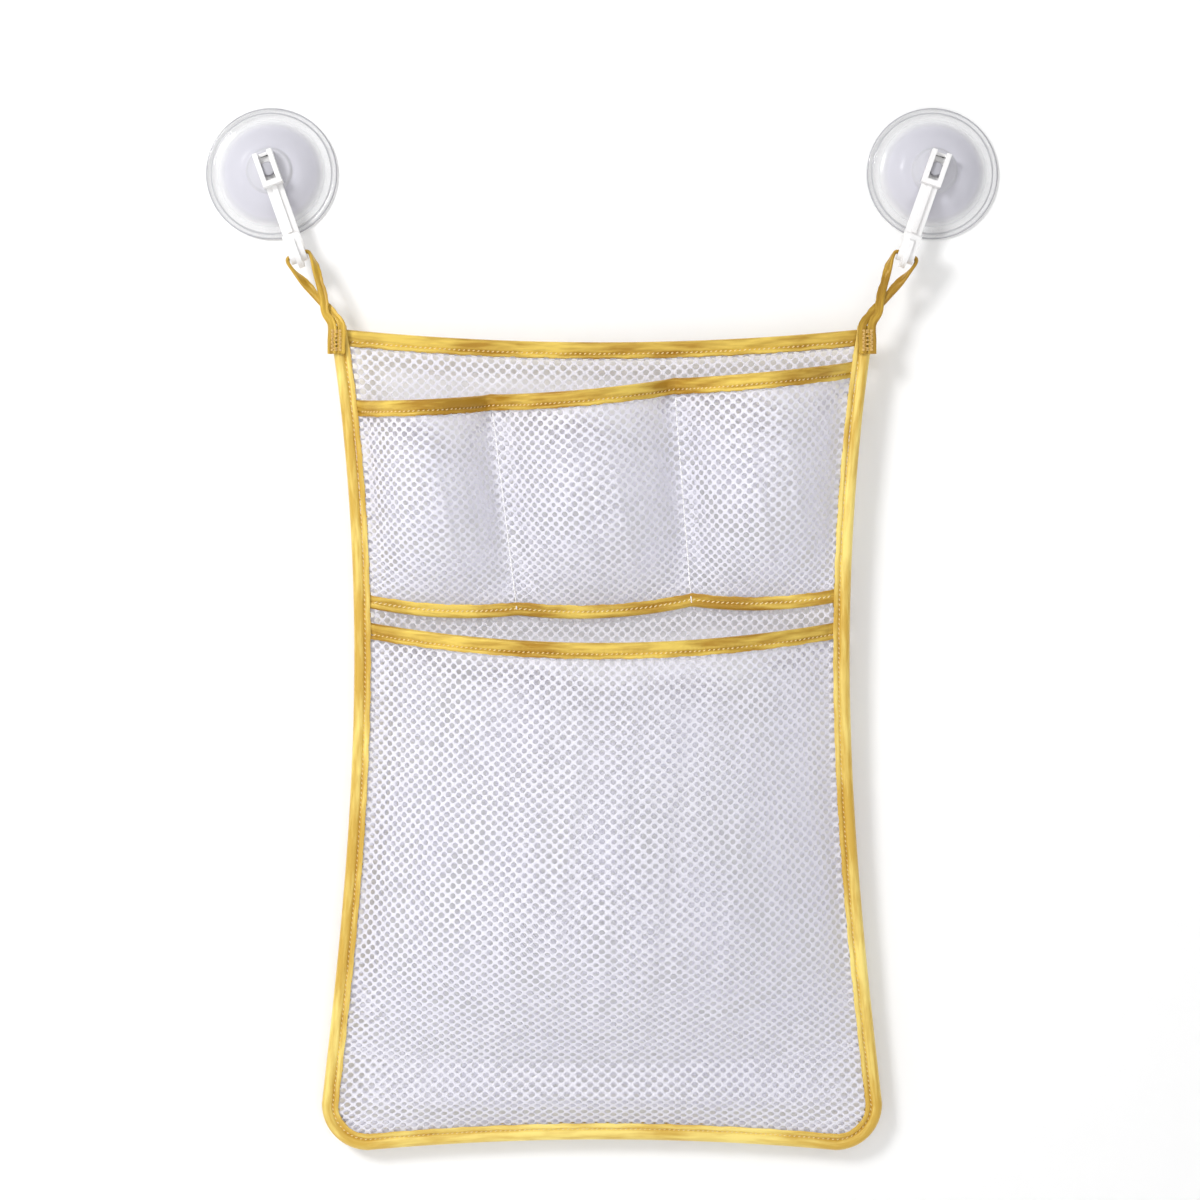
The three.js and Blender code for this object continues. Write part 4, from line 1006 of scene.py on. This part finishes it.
for side, sign in (("left", -1), ("right", 1)):
    ring_x, ring_z = radii[1:-1, None] * np.cos(angle), radii[1:-1, None] * np.sin(angle)
    body = at(sign * CUP_X + ring_x, depths[1:-1, None], ring_z).reshape(-1, 3)
    poles = at(np.full(2, sign * CUP_X), depths[[0, -1]], np.zeros(2))
    points = np.concatenate([body, poles])
    rings = len(radii) - 2
    faces = ring_faces(rings, CUP_SIDES)[:-2]
    last = (rings - 1) * CUP_SIDES
    for j in range(CUP_SIDES):
        k = (j + 1) % CUP_SIDES
        faces += [[len(body), k, j], [last + j, last + k, len(body) + 1]]
    made = piece(f"cup_{side}", points, faces, PVC, "suction_cups", [f"suction_cup_{side}"])
    for name, shares in (("milk", milk), ("rim", rim)):
        values = made.data.attributes.new(name, "FLOAT", "POINT")
        shade = np.concatenate([np.repeat(shares[1:-1], CUP_SIDES), shares[[0, -1]]])
        values.data.foreach_set("value", shade.astype(np.float32))

# Hooks, the solids' shape with a slot in the head and its edges rounded as moulded


def slotted(node, x, lean):
    """The hook's mesh with its window opened upwards to a slot."""
    slot = bmesh.new()
    bmesh.ops.create_cube(slot, size=1)
    low, high = np.array(SLOT_LOW), np.array(SLOT_HIGH)
    for corner in slot.verts:
        a, depth, b = (low + high) / 2 + np.array(corner.co) * (high - low)
        corner.co = Vector((x + a * math.cos(lean) + b * math.sin(lean), -depth,
                            b * math.cos(lean) - a * math.sin(lean))) * MM
    bmesh.ops.reverse_faces(slot, faces=slot.faces)  # the depth axis mirrors the cube
    cutter = bpy.data.objects.new("slot", bpy.data.meshes.new("slot"))
    slot.to_mesh(cutter.data)
    slot.free()
    whole = bpy.data.objects.new("whole", node.data.copy())
    welded = bmesh.new()
    welded.from_mesh(node.data)
    bmesh.ops.remove_doubles(welded, verts=welded.verts, dist=1e-6)
    welded.to_mesh(whole.data)
    welded.free()
    for made in (cutter, whole):
        bpy.context.scene.collection.objects.link(made)
    cut = whole.modifiers.new("slot", "BOOLEAN")
    cut.object, cut.operation, cut.solver = cutter, "DIFFERENCE", "EXACT"
    mesh = bpy.data.meshes.new_from_object(whole.evaluated_get(bpy.context.evaluated_depsgraph_get()))
    for made in (cutter, whole):
        bpy.data.objects.remove(made)
    return mesh


for side, sign in (("left", -1), ("right", 1)):
    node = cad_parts[f"hook_{side}"]
    work = bmesh.new()
    work.from_mesh(slotted(node, sign * CUP_X, sign * HOOK_LEAN))
    bmesh.ops.remove_doubles(work, verts=work.verts, dist=1e-6)
    bmesh.ops.dissolve_limit(work, angle_limit=math.radians(1), verts=work.verts, edges=work.edges)
    sharp = [e for e in work.edges if e.is_manifold and e.calc_face_angle() > math.radians(40)]
    bmesh.ops.bevel(work, geom=sharp, offset=HOOK_ROUND * MM, segments=3, profile=0.6, affect="EDGES",
                    clamp_overlap=True)
    mesh = bpy.data.meshes.new(f"hook_moulding_{side}")
    work.to_mesh(mesh)
    work.free()
    mesh.shade_smooth()
    mesh.set_sharp_from_angle(angle=math.radians(50))
    mesh.materials.append(POLYPROPYLENE)
    moulding = bpy.data.objects.new(mesh.name, mesh)
    bpy.context.scene.collection.objects.link(moulding)
    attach(moulding, f"{side}_hook")
    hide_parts(f"hook_{side}")

# Stage, light and camera, in metres

WALL_Y = 0.0008  # just behind the cups
WALL_LIFT = 0.05  # light that makes the wall's white full
FLOOR_Z = -0.65
STAGE_HALF = 3
STAGE_TOP = 2.5
STAGE_FRONT = -4
LAMP_AIM = (0, 0, -0.25)
EYE = (-0.0011, -1.4, -0.2407)
VIEW_HALF = 0.339  # half the width that the camera sees at the wall

world = bpy.data.worlds.new("soft_room")
bpy.context.scene.world = world
world.use_nodes = True
room_light = world.node_tree.nodes["Background"].inputs
room_light["Color"].default_value = linear("#FFFFFF")
room_light["Strength"].default_value = 0.46


def pale_paint():
    """Matt white paint that shows white to the eye, keeps shadows, and is see-through from behind."""
    material, tree = new_material("pale_paint")
    ray = add(tree, "ShaderNodeLightPath").outputs
    seen = ray["Is Camera Ray"]
    for other in ("Is Glossy Ray", "Is Transmission Ray"):
        seen = add(tree, "ShaderNodeMath", {0: seen, 1: ray[other]}, operation="MAXIMUM").outputs[0]
    lift = add(tree, "ShaderNodeMath", {0: seen, 1: WALL_LIFT}, operation="MULTIPLY")
    matt = add(tree, "ShaderNodeBsdfDiffuse", {"Color": linear("#F7F7F7")})
    glow = add(tree, "ShaderNodeEmission", {"Strength": lift.outputs[0]})
    front = add(tree, "ShaderNodeAddShader", {0: matt.outputs[0], 1: glow.outputs[0]})
    back = add(tree, "ShaderNodeBsdfTransparent")
    facing = add(tree, "ShaderNodeNewGeometry").outputs["Backfacing"]
    both = add(tree, "ShaderNodeMixShader", {0: facing, 1: front.outputs[0], 2: back.outputs[0]})
    output(tree, both.outputs[0])
    return material


def plane(name, corners, material):
    mesh = bpy.data.meshes.new(name)
    mesh.from_pydata(corners, [], [[0, 1, 2, 3]])
    mesh.materials.append(material)
    made = bpy.data.objects.new(name, mesh)
    bpy.context.scene.collection.objects.link(made)


paint = pale_paint()
left_foot, right_foot = (-STAGE_HALF, WALL_Y, FLOOR_Z), (STAGE_HALF, WALL_Y, FLOOR_Z)
left_top, right_top = (-STAGE_HALF, WALL_Y, STAGE_TOP), (STAGE_HALF, WALL_Y, STAGE_TOP)
left_front, right_front = (-STAGE_HALF, STAGE_FRONT, FLOOR_Z), (STAGE_HALF, STAGE_FRONT, FLOOR_Z)
plane("wall", [left_foot, right_foot, right_top, left_top], paint)
plane("floor", [left_front, right_front, right_foot, left_foot], paint)


def lamp(name, place, size, watts):
    light = bpy.data.lights.new(name, "AREA")
    light.shape = "DISK"
    light.size = size
    light.energy = watts
    made = bpy.data.objects.new(name, light)
    made.location = place
    made.rotation_euler = (Vector(LAMP_AIM) - Vector(place)).to_track_quat("-Z", "Y").to_euler()
    bpy.context.scene.collection.objects.link(made)


lamp("key", (-1.2, -1.65, 0.75), 0.6, 26)
lamp("front", (0.3, -2.0, 0.1), 1.5, 6)

camera = bpy.data.cameras.new("camera")
camera.sensor_width = 36
camera.lens = camera.sensor_width / 2 / (VIEW_HALF / -EYE[1])
eye = bpy.data.objects.new("camera", camera)
eye.location = EYE
eye.rotation_euler = (math.radians(90), 0, 0)
bpy.context.scene.collection.objects.link(eye)
bpy.context.scene.camera = eye
bpy.context.scene.view_settings.view_transform = "Standard"
